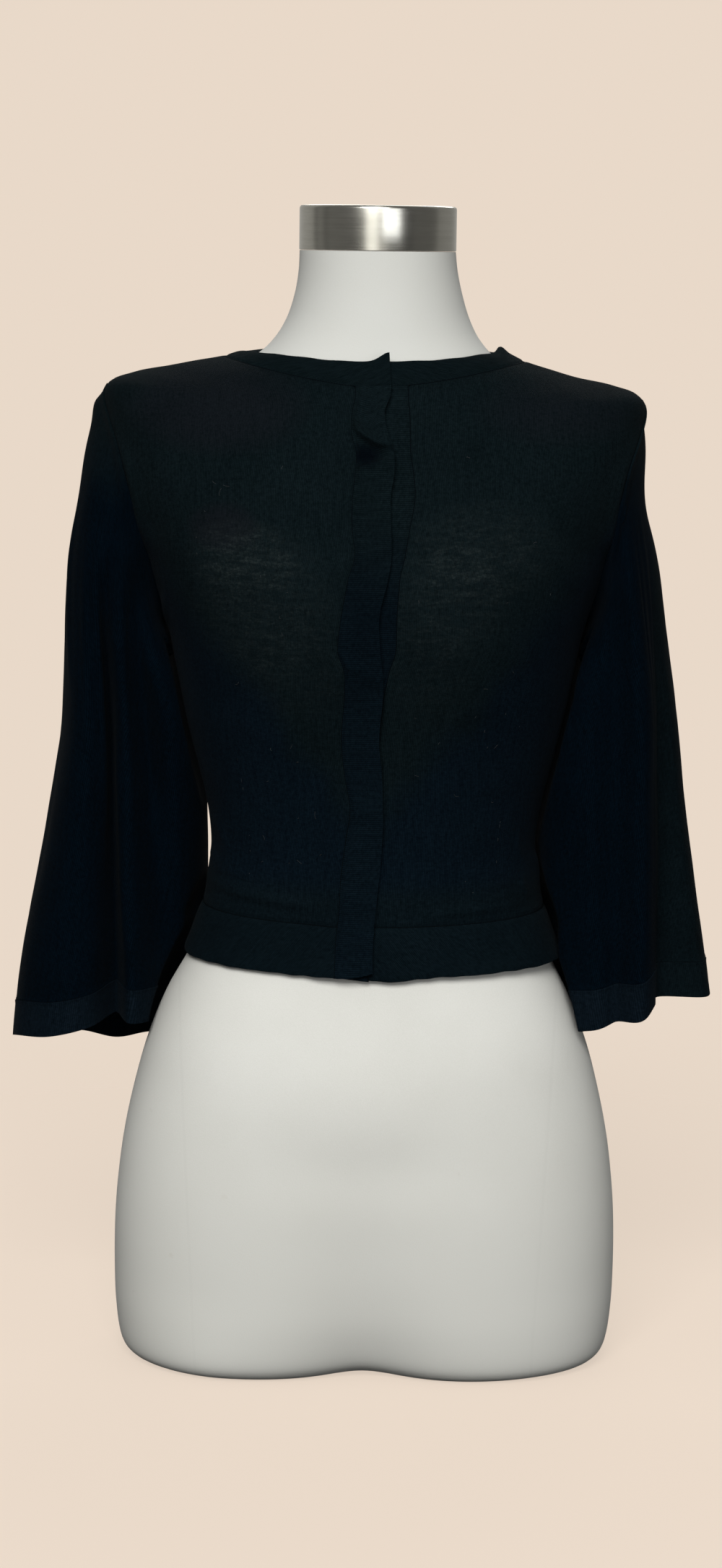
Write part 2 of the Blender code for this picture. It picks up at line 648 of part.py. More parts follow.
def add_neck_cap(materials):
    """A steel disc with a rounded upper edge, just clear of the neck."""
    bottom = FORM_RINGS[-1].side_z + SEAM_GAP
    top = bottom + CAP_HEIGHT
    profile = [(CAP_RADIUS - 0.6, bottom), (CAP_RADIUS, bottom + 0.6), (CAP_RADIUS, top - CAP_EDGE)]
    for step in (1, 2, 3):
        turn = QUARTER * step / 3
        profile.append((CAP_RADIUS - CAP_EDGE * (1 - math.cos(turn)), top - CAP_EDGE * (1 - math.sin(turn))))
    shape = bmesh.new()
    rings = []
    for radius, z in profile:
        angles = [4 * QUARTER * step / CAP_SEGMENTS for step in range(CAP_SEGMENTS)]
        rings.append([shape.verts.new(Vector((radius * math.sin(a), -radius * math.cos(a), z)) * MM)
                      for a in angles])
    for lower, upper in zip(rings, rings[1:]):
        for column in range(CAP_SEGMENTS):
            after = (column + 1) % CAP_SEGMENTS
            shape.faces.new((lower[column], lower[after], upper[after], upper[column]))
    shape.faces.new(reversed(rings[0]))
    shape.faces.new(rings[-1])
    add_object("neck_cap", shape, materials["steel"])


def main():
    for old in list(bpy.data.objects):
        bpy.data.objects.remove(old, do_unlink=True)
    materials = {name: make_material(name) for name in FINISHES}
    add_dress_form(materials)
    add_neck_cap(materials)
    add_body(materials)
    add_front_bands(materials)
    add_bottom_band(materials)
    add_neckband(materials)
    for sleeve in SLEEVES:
        add_sleeve(sleeve, materials)


main()
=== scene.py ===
"""The looks of a cropped cardigan in fine black knit, worn by a white limbless dress form.

The cloth is made as thin shells on the solids' own form: the same rings of the torso, the same
seams and the same folds of the sleeves, read far more finely, with the creases, puckers, turned
edges and seams of the real knit on top. Lengths are in millimetres until a mesh is made.
"""
import math
from collections import namedtuple
from types import SimpleNamespace

import bmesh
import bpy
import numpy as np
from mathutils import Matrix, Vector

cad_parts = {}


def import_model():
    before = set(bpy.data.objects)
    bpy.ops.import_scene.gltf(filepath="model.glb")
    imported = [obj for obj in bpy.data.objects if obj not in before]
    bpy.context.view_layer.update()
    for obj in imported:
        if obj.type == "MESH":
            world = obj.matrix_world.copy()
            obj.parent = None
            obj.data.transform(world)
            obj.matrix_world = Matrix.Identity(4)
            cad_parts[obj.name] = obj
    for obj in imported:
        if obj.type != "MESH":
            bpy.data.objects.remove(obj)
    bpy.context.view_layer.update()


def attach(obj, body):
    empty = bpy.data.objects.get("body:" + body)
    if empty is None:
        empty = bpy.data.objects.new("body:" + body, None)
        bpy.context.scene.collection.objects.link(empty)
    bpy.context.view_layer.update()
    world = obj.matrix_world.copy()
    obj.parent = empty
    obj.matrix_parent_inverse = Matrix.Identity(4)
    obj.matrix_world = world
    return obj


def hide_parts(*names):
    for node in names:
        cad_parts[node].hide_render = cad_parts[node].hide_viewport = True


MM = 0.001
QUARTER = math.pi / 2

# The garment's driving dimensions, as its solids have them
LAP_LIFT = 3.0              # how far the overlapping front lies over the other one
LAP_RUN = 21.0              # width over which that front climbs, beside its band
UNDERLAP_WIDTH = 22.0
CUFF_HEIGHT = 25.0
HEM_REACH = 30.0            # how far below the hem a sleeve still keeps clear of it
CLEAR_SPAN = 24.0           # height above and below a sleeve's point over which it keeps clear
CAP_RADIUS = 52.3
CAP_HEIGHT = 29.5
CAP_EDGE = 2.2
CAP_GAP = 0.3
DIP_WIDTH = 0.45            # of the hollows in the middle of the front and the back, in radians
SHOULDER_LEAN = 0.016       # the right shoulder is this much higher for each unit of width

# What the shells add
CLOTH = 1.5                 # thickness of the single knit
TURNED = 1.9                # of the bands, whose knit is double
SHELL_EDGE = 0.42           # how far their edges are rounded
SLEEVE_CLEARANCE = 0.2      # how far a sleeve keeps clear of the body
SEAM_DIP = 0.8              # how deep the cloth sinks into a seam
SEAM_WIDTH = 1.7            # half the width of that dip
ARMHOLE_DIP = 0.3           # the same for the armholes, whose seams hardly show
ARMHOLE_FILL = 4.6          # how far the cloth bridges the crease between the chest and a sleeve
FILL_WIDTH = 13.0
CUFF_DIP = 0.4
HEAD_PUFF = 2.4             # how far a sleeve's head stands out below the tip of the shoulder
PUFF_REACH = 9.0
TIP_ROUNDING = 1.2          # how far the tip of the shoulder is sunk
TIP_REACH = 12.0
STITCH = 1.9                # length of a linking stitch
THREAD_RADIUS = 0.55
THREAD_SINK = 0.35          # how far its middle lies under the face of the cloth
THREAD_STEP = 0.8           # distance between its rings of points
BODY_SEED = 1.0             # sets the unevenness of the body's cloth
ARMHOLE_STEPS = 11          # points of the armhole's edge on each tenth of its height
SOFT_PASSES = 30            # how often a sleeve's points are drawn towards their neighbours

# Rings, from the lowest up. side_z, front_z and back_z are a ring's heights at its sides, front
# and back, width is half of its width, front and back are its depths from the plane y = 0,
# corner is the exponent of its rounded outline (2 is an ellipse), and front_dip and back_dip
# are the depths of its hollows in the middle of the front and of the back.
Ring = namedtuple("Ring", "side_z front_z back_z centre_x width front back corner front_dip back_dip")

FORM_RINGS = [
    Ring(0, 0, 0, 0, 150, 92, 98, 2.7, 28, 3),
    Ring(4, 4, 4, 0, 161, 100, 107, 2.65, 22, 4),
    Ring(13, 13, 13, 0, 167, 105, 113, 2.6, 17, 5),
    Ring(34, 34, 34, 0, 170.3, 107, 116, 2.5, 13, 6),
    Ring(60, 60, 60, 0, 171.5, 106, 118, 2.4, 10, 6),
    Ring(90, 90, 90, 0, 171.4, 104, 119, 2.35, 7, 6),
    Ring(120, 120, 120, 0, 169.5, 102, 118, 2.3, 4, 5),
    Ring(155, 155, 155, 0, 165, 99, 114, 2.25, 1, 3),
    Ring(190, 190, 190, 0, 157.5, 96.5, 107, 2.2, 0, 1),
    Ring(220, 220, 220, 0, 149, 94, 99, 2.2, 0, 0),
    Ring(250, 250, 250, 0, 137, 91, 91, 2.15, 0, 0),
    Ring(280, 280, 280, 1, 121.5, 87, 82, 2.15, 0, 0),
    Ring(310, 310, 310, 2, 110, 83, 73, 2.15, 0, 0),
    Ring(345, 345, 345, 2.5, 103.5, 81.5, 68, 2.15, 0, 2),
    Ring(380, 380, 380, 2.5, 107, 84, 69, 2.15, 0, 3),
    Ring(415, 415, 415, 2.5, 114, 90, 74, 2.15, 1, 3),
    Ring(450, 450, 450, 2.5, 121, 99, 80, 2.15, 3, 3),
    Ring(485, 485, 485, 2.5, 128, 111, 86, 2.15, 7, 3),
    Ring(515, 515, 515, 2, 135, 119, 91, 2.2, 11, 3),
    Ring(545, 541, 543, 2, 143, 119, 94, 2.2, 11, 2),
    Ring(578, 567, 574, 1, 153, 111, 94, 2.3, 7, 2),
    Ring(610, 592, 602, 0, 164, 102, 92, 2.4, 3, 1),
    Ring(633, 612, 625, 0, 169, 94, 88, 2.5, 0, 0),
    Ring(648.5, 630, 641.5, 0, 162, 87, 82.5, 2.5, 0, 0),
    Ring(658, 643, 653, 0, 144, 80.5, 76, 2.45, 0, 0),
    Ring(665, 654, 662, 0, 119, 74, 69, 2.3, 0, 0),
    Ring(672.5, 664, 670.5, 0, 97, 68, 62.5, 2.2, 0, 0),
    Ring(681.5, 675.5, 680.5, 0, 80, 62.5, 57.5, 2.1, 0, 0),
    Ring(693, 689, 692.5, 0.5, 68.5, 58.5, 54.5, 2.05, 0, 0),
    Ring(707, 704, 706, 1, 60.8, 56, 53, 2, 0, 0),
    Ring(723, 722, 723, 1, 55.8, 53.8, 52.2, 2, 0, 0),
    Ring(738, 738, 738, 0.5, 53, 52.6, 52, 2, 0, 0),
    Ring(751, 751, 751, 0, 52, 52, 52, 2, 0, 0),
]

CLOTH_RINGS = [
    Ring(279, 276, 284, 3.5, 129.5, 94.5, 91, 2.15, 0, 0),
    Ring(312.5, 310, 316, 3, 116.5, 91.5, 82.5, 2.15, 0, 0),
    Ring(330, 328, 333, 2.8, 113, 92, 79.5, 2.15, 0, 0),
    Ring(354, 352, 356, 2.5, 110, 92, 77, 2.15, 0, 0),
    Ring(382, 381, 384, 2.5, 113.5, 94.5, 78, 2.15, 0, 0),
    Ring(412, 411, 414, 2.5, 120.5, 99.5, 81.5, 2.15, 0, 0),
    Ring(444, 443, 446, 2.5, 128.5, 107, 87, 2.15, 0, 0),
    Ring(475, 475, 476, 2.5, 135, 117, 92, 2.15, 0, 0),
    Ring(503, 505, 505, 2.5, 140.5, 124, 96, 2.2, 0, 0),
    Ring(541, 537, 540, 2, 153, 126, 99.5, 2.25, 0, 0),
    Ring(576, 563, 571, 1, 165, 119.5, 99.5, 2.35, 0, 0),
    Ring(609, 588, 600, 0, 173.5, 110.5, 97.5, 2.45, 0, 0),
    Ring(638, 611, 627, -0.5, 180, 101.5, 93.5, 2.5, 0, 0),
    Ring(658.5, 631, 647, -1, 179, 93.5, 88, 2.5, 0, 0),
    Ring(666, 641, 657, -1, 161.5, 88, 83, 2.45, 0, 0),
    Ring(671, 649, 665, -1, 138, 83.5, 77.5, 2.35, 0, 0),
    Ring(676, 657, 672, -1, 118, 79.5, 72, 2.25, 0, 0),
    Ring(680.5, 664, 679, -1, 100, 75.5, 66, 2.15, 0, 0),
    Ring(686, 680, 692, -1.5, 83.5, 69, 58.5, 2.1, 0, 0),
]

# Heights of the cloth's seams, counted in rows of CLOTH_RINGS
HEM, BAND_SEAM, ARMPIT, SHOULDER_TIP, COLLAR_SEAM, NECKLINE = 0, 1, 8, 13, 17, 18

# Where the front bands run, at heights above the floor. lap_seam is where the upper band is
# sewn to the right front, free_edge its other edge, under_seam where the lower band is sewn to
# the left front, and pucker how far the upper band stands out there.
BandPlace = namedtuple("BandPlace", "z lap_seam free_edge under_seam pucker")

BAND_PLACES = [
    BandPlace(276, -21.5, 3, 0, 0),
    BandPlace(299, -21, 3, 0, 0.6),
    BandPlace(322, -19, 4.5, 1, 0),
    BandPlace(345, -18, 6.5, 2, 0.8),
    BandPlace(371, -15, 8, 3, 0.2),
    BandPlace(389, -13, 8, 4, 1.2),
    BandPlace(414, -17, 7, 4, 0),
    BandPlace(436, -19, 5, 5, 0.4),
    BandPlace(466, -17.5, 7, 8, 0),
    BandPlace(482, -18, 6.5, 11, 1.6),
    BandPlace(495, -22, 5, 15, 0.4),
    BandPlace(519, -20, 4, 15.5, 0),
    BandPlace(543, -16, 9, 17, 0.3),
    BandPlace(557, -12, 11, 20, 1.4),
    BandPlace(575, -14, 10.5, 23, 0.2),
    BandPlace(594, -14, 10, 26, 0),
    BandPlace(609, -12.5, 12, 25, 0.8),
    BandPlace(622, -12, 11.5, 23, 3.2),
    BandPlace(634, -15, 7.5, 22.5, 1.8),
    BandPlace(647, -15, 5.5, 22, 0.5),
    BandPlace(658, -13, 9, 21, 0),
    BandPlace(686, -13, 10, 20, 0),
]

# A sleeve's outline in plan, seen at its middle and at its hem, point by point round it: first
# its outer edge, then its front with the folds, its inner edge and its back. out is measured
# outwards from the middle of the body, back towards +Y, and hem_z is the height of the hem.
SleevePoint = namedtuple("SleevePoint", "place mid_out mid_back hem_out hem_back hem_z")

RIGHT_SLEEVE = [
    SleevePoint("outer edge", 211.5, 18, 242, 12, 213),
    SleevePoint("outer front", 205, -16, 235, -24, 221),
    SleevePoint("front fold", 193, -36, 212, -47, 225),
    SleevePoint("front fold, inner side", 182, -30, 188, -42, 230),
    SleevePoint("long valley", 175, -9, 171, -12, 236),
    SleevePoint("middle fold", 164, -31, 159, -34, 232),
    SleevePoint("short valley", 150, -14, 140, -10, 231),
    SleevePoint("inner fold", 133, -28, 124, 8, 228),
    SleevePoint("inner edge", 116, -8, 116, 32, 221),
    SleevePoint("inner back", 114, 24, 112, 56, 212),
    SleevePoint("back fold, inner side", 124, 50, 124, 80, 206),
    SleevePoint("back fold", 150, 62, 155, 86, 202),
    SleevePoint("back valley", 168, 50, 176, 62, 202),
    SleevePoint("outer back fold", 186, 65, 201, 80, 203),
    SleevePoint("outer back", 202, 56, 223, 68, 206),
    SleevePoint("outer edge, behind", 211, 38, 239, 42, 209),
]

LEFT_SLEEVE = [
    SleevePoint("outer edge", 210.5, 30, 234.5, 28, 247),
    SleevePoint("outer front", 206, 10, 229, 3, 248),
    SleevePoint("hidden valley", 191, -3, 197, -10, 250),
    SleevePoint("front lobe, crisp edge", 190, -28, 192, -36, 249),
    SleevePoint("front lobe", 180, -42, 183, -50, 241),
    SleevePoint("soft valley", 164, -30, 168, -38, 238),
    SleevePoint("front lobe, inner side", 144, -38, 152, -42, 233),
    SleevePoint("inner front", 122, -24, 124, -20, 230),
    SleevePoint("inner edge", 112, 2, 118, 8, 232),
    SleevePoint("inner back", 114, 34, 114, 38, 236),
    SleevePoint("back fold, inner side", 126, 56, 122, 68, 238),
    SleevePoint("back fold", 150, 65, 152, 84, 240),
    SleevePoint("back valley", 168, 52, 176, 64, 241),
    SleevePoint("outer back fold", 187, 67, 201, 84, 241),
    SleevePoint("outer back", 201, 60, 219, 74, 241),
    SleevePoint("outer edge, behind", 209, 48, 232, 54, 241),
]

SLEEVE_MIDDLE = 415.0       # height of the middle outline
FLARE = 0.95                # how fast a sleeve widens at its middle
SEAM_RUN = 12.0             # how far a sleeve keeps the direction of the body's cloth
UNDERARM_OUT = 34.0         # how strongly it then turns outwards under the arm
HEAD_DROP = 310.0           # how strongly it turns down at the shoulder
ARMHOLE_FRONT = 0.30        # how far the armhole cuts into the front, in radians
ARMHOLE_BACK = 0.34
ARMHOLE_FULLNESS = 0.62     # below 1, its curve is round near the armpit
PLACE_WIDTH = 18.0          # a typical distance between two points of a sleeve's outline

# side is -1 on the wearer's right, head_out is how strongly the sleeve turns outwards at the
# shoulder, bell how fast it still widens at its hem, and seed sets its cloth's unevenness
Sleeve = namedtuple(
    "Sleeve", "name cuff nodes outline creases seed side head_out bell flat area cuff_flat")

# Creases: a soft ridge, or a trough where its height is negative, from one place to another.
# On the body a place is x and z. On a sleeve it is a point of its outline, counted from 0, and z.
# bow is how far its middle bends aside.
Crease = namedtuple("Crease", "from_x from_z to_x to_z width height bow")

FRONT_CREASES = [
    # the soft roll over the bottom band
    Crease(-116, 331, -26, 322, 3.4, 1.6, 1),
    Crease(-112, 340, -72, 338, 2.2, 0.9, -0.5),
    Crease(-116, 347, -80, 344, 1.9, 0.7, 0.5),
    Crease(-106, 352, -84, 350, 1.7, 0.5, 0),
    Crease(28, 317, 112, 321, 3.2, 1.5, -1),
    Crease(66, 326, 100, 328, 1.9, 0.7, 0.5),
    Crease(74, 333, 98, 336, 1.8, 0.6, -0.5),
    Crease(70, 341, 92, 343, 1.8, 0.4, 0.5),
    # crinkles beside the wearer's left side seam
    Crease(98, 372, 104, 346, 2.0, 1.0, 1.5),
    Crease(107, 352, 118, 326, 2.3, 1.8, -2),
    Crease(101, 340, 108, 322, 2.0, 1.1, 1),
    Crease(92, 388, 97, 364, 2.0, 0.6, 1),
    # slack of the waist
    Crease(-104, 378, -92, 350, 3.0, 0.8, 2),
    Crease(-84, 392, -50, 380, 5.0, 0.6, 2),
    Crease(60, 395, 92, 404, 5.0, 0.5, -2),
    # slack under the bust
    Crease(-92, 455, -58, 430, 6.0, 0.7, 3),
    Crease(46, 442, 84, 462, 6.0, 0.7, -3),
    Crease(-38, 470, -34, 425, 5.0, 0.5, 2),
    # drag from the armholes and the shoulders
    Crease(-136, 532, -139, 478, 2.4, 1.5, 1),
    Crease(-158, 560, -118, 600, 8.0, -1.0, 4),
    Crease(152, 545, 116, 590, 8.0, -1.0, -4),
    Crease(143, 520, 112, 552, 6.0, -0.7, -3),
    Crease(-172, 640, -128, 650, 6.0, 0.6, -2),
    Crease(160, 648, 118, 655, 6.0, 0.6, 2),
]

BACK_CREASES = [
    Crease(-82, 352, 46, 346, 6.0, 1.5, 3),
    Crease(-50, 372, 88, 364, 6.5, 1.1, -4),
    Crease(-96, 334, -20, 330, 3.6, 0.9, 1),
    Crease(20, 331, 98, 336, 3.6, 0.8, -1),
    Crease(-100, 398, -30, 386, 7.0, 0.7, 3),
    Crease(28, 396, 104, 410, 7.0, 0.7, -3),
    Crease(-128, 520, -96, 590, 8.0, -1.0, 4),
    Crease(126, 510, 100, 585, 8.0, -1.0, -4),
    Crease(-112, 470, -80, 520, 7.0, -0.6, 3),
    Crease(108, 468, 82, 515, 7.0, -0.6, -3),
    Crease(-60, 640, 55, 644, 9.0, 0.5, 4),
]

RIGHT_SLEEVE_CREASES = [
    Crease(0.9, 600, 1.3, 440, 3.4, -1.5, 1),
    Crease(1.9, 590, 2.2, 330, 5.0, 0.9, 3),
    Crease(2.9, 585, 3.5, 300, 3.6, -2.2, 2),
    Crease(3.0, 566, 4.4, 500, 2.2, -0.9, 1),
    Crease(4.6, 470, 4.9, 250, 3.2, -1.6, 1),
    Crease(5.6, 540, 5.4, 380, 4.0, 0.6, 2),
    Crease(6.5, 500, 7.4, 430, 4.0, -0.8, 3),
    Crease(7.2, 460, 8.4, 400, 3.6, 0.7, 2),
    Crease(0.2, 420, 0.5, 300, 5.0, 0.7, -3),
    Crease(15.2, 380, 14.6, 260, 5.0, 0.6, 2),
    Crease(12.4, 520, 12.1, 330, 5.0, -0.9, 2),
    Crease(10.5, 480, 9.6, 420, 4.0, 0.7, 2),
    Crease(2.4, 640, 3.6, 585, 6.0, -0.5, 3),
]

LEFT_SLEEVE_CREASES = [
    Crease(2.9, 600, 3.05, 250, 2.6, 1.5, 0),
    Crease(2.2, 610, 2.3, 260, 3.6, -1.9, 1),
    Crease(4.9, 560, 5.2, 300, 5.0, -0.7, 2),
    Crease(6.2, 380, 6.8, 330, 3.4, 0.9, 2),
    Crease(5.8, 350, 6.6, 300, 3.2, -0.8, -2),
    Crease(7.0, 470, 6.2, 420, 4.0, 0.7, 2),
    Crease(6.4, 290, 6.0, 245, 3.0, 0.8, 1),
    Crease(0.8, 420, 0.9, 300, 5.0, 0.5, 2),
    Crease(15.0, 470, 14.4, 300, 5.0, 0.6, -2),
    Crease(12.3, 520, 12.1, 320, 5.0, -0.9, 2),
    Crease(10.4, 470, 9.6, 410, 4.0, 0.7, 2),
]

SLEEVES = [
    Sleeve("right_sleeve_cloth", "right_cuff_cloth", ("right_sleeve", "right_cuff"), RIGHT_SLEEVE,
           RIGHT_SLEEVE_CREASES, 2.0, -1, 112.0, 0.4, (0.40, 0.43), 0.128, (0.44, 0.025)),
    Sleeve("left_sleeve_cloth", "left_cuff_cloth", ("left_sleeve", "left_cuff"), LEFT_SLEEVE,
           LEFT_SLEEVE_CREASES, 4.0, 1, 22.0, 0.9, (0.38, 0.40), 0.108, (0.42, 0.025)),
]


# Reading the tables

def read_table(rows, t, closed=False):
    """A table's columns at fractional rows t, along smooth curves through its numbers."""
    names = [name for name, value in zip(rows[0]._fields, rows[0]) if not isinstance(value, str)]
    table = np.array([[getattr(row, name) for name in names] for row in rows], float)
    count = len(table)
    t = np.asarray(t, float)
    low = np.floor(t).astype(int)
    if not closed:
        low = np.clip(low, 0, count - 2)
    part = (t - low)[..., None]
    steps = [low + step for step in (-1, 0, 1, 2)]
    picks = [index % count if closed else np.clip(index, 0, count - 1) for index in steps]
    before, first, second, after = (table[index] for index in picks)
    slope_in, slope_out, rise = (second - before) / 2, (after - first) / 2, second - first
    curve = 3 * rise - 2 * slope_in - slope_out
    values = first + part * (slope_in + part * (curve + part * (slope_in + slope_out - 2 * rise)))
    return SimpleNamespace(**{name: values[..., index] for index, name in enumerate(names)})


def smooth_step(value):
    value = np.clip(value, 0, 1)
    return value * value * (3 - 2 * value)


def bump(value):
    """A soft hump, 1 at zero."""
    return np.exp(-np.square(value))


def unit(vectors):
    return vectors / np.linalg.norm(vectors, axis=-1, keepdims=True)


def ring_points(ring, angle):
    """The points of rings at angles."""
    sine, cosine = np.sin(angle), np.cos(angle)
    faces_front = cosine > 0
    depth = np.where(faces_front, ring.front, ring.back)
    power = ring.corner
    radius = (np.abs(sine / ring.width) ** power + np.abs(cosine / depth) ** power) ** (-1 / power)
    turn = np.arctan2(np.abs(sine), np.abs(cosine))
    radius = radius - np.where(faces_front, ring.front_dip, ring.back_dip) * bump(turn / DIP_WIDTH)
    end_z = np.where(faces_front, ring.front_z, ring.back_z)
    leaning = smooth_step((ring.side_z - 540) / 100) * smooth_step((688 - ring.side_z) / 16)
    z = ring.side_z + (end_z - ring.side_z) * cosine ** 2 - SHOULDER_LEAN * leaning * radius * sine
    return np.stack((ring.centre_x + radius * sine, -radius * cosine, z), -1)


def band_place(z):
    heights = [place.z for place in BAND_PLACES]
    return read_table(BAND_PLACES, np.interp(z, heights, np.arange(len(heights))))


def cloth_points(t, angle, lapped=False):
    """The outer face of the cardigan's body. lapped says where the right front's lift counts."""
    points = ring_points(read_table(CLOTH_RINGS, t), angle)
    seam = band_place(points[..., 2]).lap_seam
    lift = LAP_LIFT * smooth_step(1 - (seam - 4 - points[..., 0]) / LAP_RUN) * lapped
    outward = np.stack((np.sin(angle), -np.cos(angle), np.zeros_like(angle)), -1)
    return points + outward * lift[..., None]


def cloth_normals(t, angle, lapped=False):
    small = 0.01
    across = cloth_points(t, angle + small, lapped) - cloth_points(t, angle - small, lapped)
    low, high = np.maximum(t - small, 0), np.minimum(t + small, NECKLINE)
    up = cloth_points(high, angle, lapped) - cloth_points(low, angle, lapped)
    return unit(np.cross(across, up))


def angle_at(t, x):
    """The angles at which the cloth's front is x millimetres from the middle."""
    low, high = np.full_like(t, -0.9), np.full_like(t, 0.9)
    for step in range(30):
        middle = (low + high) / 2
        inside = cloth_points(t, middle)[..., 0] < x
        low, high = np.where(inside, middle, low), np.where(inside, high, middle)
    return (low + high) / 2


def seam_angle(t, name):
    """The angles of one of the front bands' edges at heights t."""
    angle = np.zeros_like(t)
    for step in range(2):
        place = band_place(cloth_points(t, angle)[..., 2])
        x = place.under_seam - UNDERLAP_WIDTH if name == "under_edge" else getattr(place, name)
        angle = angle_at(t, x)
    return angle


def armhole_angle(t, depth):
    """How far from the side the armhole's edge is, as an angle."""
    part = np.clip((t - ARMPIT) / (SHOULDER_TIP - ARMPIT), 0, 1)
    power = np.where(part < 0.5, ARMHOLE_FULLNESS, 1)
    return depth * np.maximum(np.sin(math.pi * part), 0) ** power


def crease_heights(across, z, creases, scale=1.0):
    """How far places stand out over soft ridges and troughs."""
    total = np.zeros_like(z)
    for crease in creases:
        run_x, run_z = (crease.to_x - crease.from_x) * scale, crease.to_z - crease.from_z
        length = math.hypot(run_x, run_z)
        from_x, from_z = (across - crease.from_x) * scale, z - crease.from_z
        along = (from_x * run_x + from_z * run_z) / length ** 2
        bend = crease.bow * 4 * along * (1 - along)
        away = (from_x * run_z - from_z * run_x) / length - bend
        ends = smooth_step(along / 0.35) * smooth_step((1 - along) / 0.35)
        total += crease.height * ends * bump(away / crease.width)
    return total


def ripple(across, z, seed):
    """The slight unevenness of cloth that hangs."""
    slow = 0.30 * np.sin(across / 17 + z / 31 + seed) + 0.24 * np.sin(across / 37 - z / 15 + 2 * seed)
    quick = 0.10 * np.sin(across / 6.1 + z / 9.7 + 3 * seed) * np.sin(z / 11.3 - across / 23 + seed)
    return slow + quick


# Making meshes

def lengths_along(points, axis):
    """Distances walked along a grid from its first row or column."""
    steps = np.linalg.norm(np.diff(points, axis=axis), axis=-1)
    start = np.zeros_like(np.take(steps, [0], axis=axis))
    return np.concatenate((start, np.cumsum(steps, axis=axis)), axis=axis)


def grid_normals(points, closed=False):
    across = np.roll(points, -1, 1) - np.roll(points, 1, 1) if closed else np.gradient(points, axis=1)
    return unit(np.cross(across, np.gradient(points, axis=0)))


def face_corners(grid):
    """What a grid holds at the four corners of each of its faces."""
    return np.stack((grid[:-1, :-1], grid[:-1, 1:], grid[1:, 1:], grid[1:, :-1]), 2)


def closed_up(grid):
    """A grid with its first column once more at its end."""
    return np.concatenate((grid, grid[:, :1]), 1)


def mesh_object(name, points, faces):
    """An object with a smooth mesh, whose points are given in millimetres."""
    mesh = bpy.data.meshes.new(name)
    mesh.from_pydata((points.reshape(-1, 3) * MM).tolist(), [], faces)
    mesh.shade_smooth()
    made = bpy.data.objects.new(name, mesh)
    bpy.context.scene.collection.objects.link(made)
    return made


def grid_object(name, points, across, along, thickness, closed=False):
    """A thin shell on a grid of points, whose UV map is the flat cloth in metres.

    across and along are the places on the flat cloth. A closed grid's last column joins its
    first, and its across has one column more.
    """
    rows, columns = points.shape[:2]
    number = np.arange(rows * columns).reshape(rows, columns)
    if closed:
        number, along = closed_up(number), closed_up(along)
    flat = np.stack((across, along), -1) * MM
    spread = face_corners(flat)
    if closed:
        # the flat cloth is cut open opposite its first column
        half = columns // 2
        girth = flat[:, -1, 0]
        spread[:, half:, :2, 0] -= girth[:-1, None, None]
        spread[:, half:, 2:, 0] -= girth[1:, None, None]
    made = mesh_object(name, points, face_corners(number).reshape(-1, 4).tolist())
    layer = made.data.uv_layers.new(name="cut")
    layer.data.foreach_set("uv", spread.reshape(-1))
    finish_shell(made, thickness)
    return made


def deselect():
    bpy.ops.object.select_all(action="DESELECT")


def finish_shell(made, thickness):
    """Give a sheet its thickness, inwards, and round its edges."""
    deselect()
    made.select_set(True)
    bpy.context.view_layer.objects.active = made
    wall = made.modifiers.new("thickness", "SOLIDIFY")
    wall.thickness = thickness * MM
    wall.offset = -1
    wall.use_even_offset = False
    edge = made.modifiers.new("edges", "BEVEL")
    edge.width = SHELL_EDGE * MM
    edge.segments = 2
    edge.limit_method = "ANGLE"
    edge.angle_limit = math.radians(62)
    for modifier in ("thickness", "edges"):
        bpy.ops.object.modifier_apply(modifier=modifier)
    made.data.shade_smooth()
    made.data.set_sharp_from_angle(angle=math.radians(70))


def dress(made, nodes, material):
    """Make a piece ride on the part, take the place of its solid and take a material."""
    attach(made, "root")
    if nodes:
        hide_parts(*nodes)
    made.data.materials.clear()
    made.data.materials.append(material)


# The cardigan's body

def panel(t, first, last, columns, lapped=False):
    """A grid of the cloth between two edges, given as angles for every height."""
    share = np.linspace(0, 1, columns + 1)
    angle = first[:, None] + (last - first)[:, None] * share
    heights = np.broadcast_to(t[:, None], angle.shape)
    return cloth_points(heights, angle, lapped)


def grain(points, column):
    """Places on the flat cloth, with a straight grain line at one column."""
    across = lengths_along(points, 1)
    across = across - across[:, [column]]
    along = lengths_along(points, 0)
    return across, along + (points[0, :, 2] - points[0, column, 2])


def from_edges(points):
    """How far the points of a grid are from its left, right, bottom and top edges."""
    across, along = lengths_along(points, 1), lengths_along(points, 0)
    return {
        "left": across,
        "right": across[:, [-1]] - across,
        "bottom": along,
        "top": along[[-1]] - along,
    }


def edge_dips(points, sides):
    """How the cloth sinks along the edges that are sewn."""
    away = from_edges(points)
    return -SEAM_DIP * sum(bump(away[side] / SEAM_WIDTH) for side in sides)


def hang(points):
    """How far the body's cloth stands out over its even form: creases, slack, rounded shoulders."""
    x, y, z = points[..., 0], points[..., 1], points[..., 2]
    front = smooth_step(0.5 - y / 30)
    rise = crease_heights(x, z, FRONT_CREASES) * front
    rise = rise + crease_heights(x, z, BACK_CREASES) * (1 - front)
    for side in (-1, 1):
        tip = cloth_points(np.array(float(SHOULDER_TIP)), np.array(side * QUARTER))
        rise = rise - TIP_ROUNDING * bump(np.linalg.norm(points - tip, axis=-1) / TIP_REACH)
    return rise + ripple(x + 0.6 * y, z, BODY_SEED)


def raised(points, rise):
    """A grid of points moved outwards, and the directions in which they moved."""
    normals = grid_normals(points)
    return points + normals * rise[..., None], normals


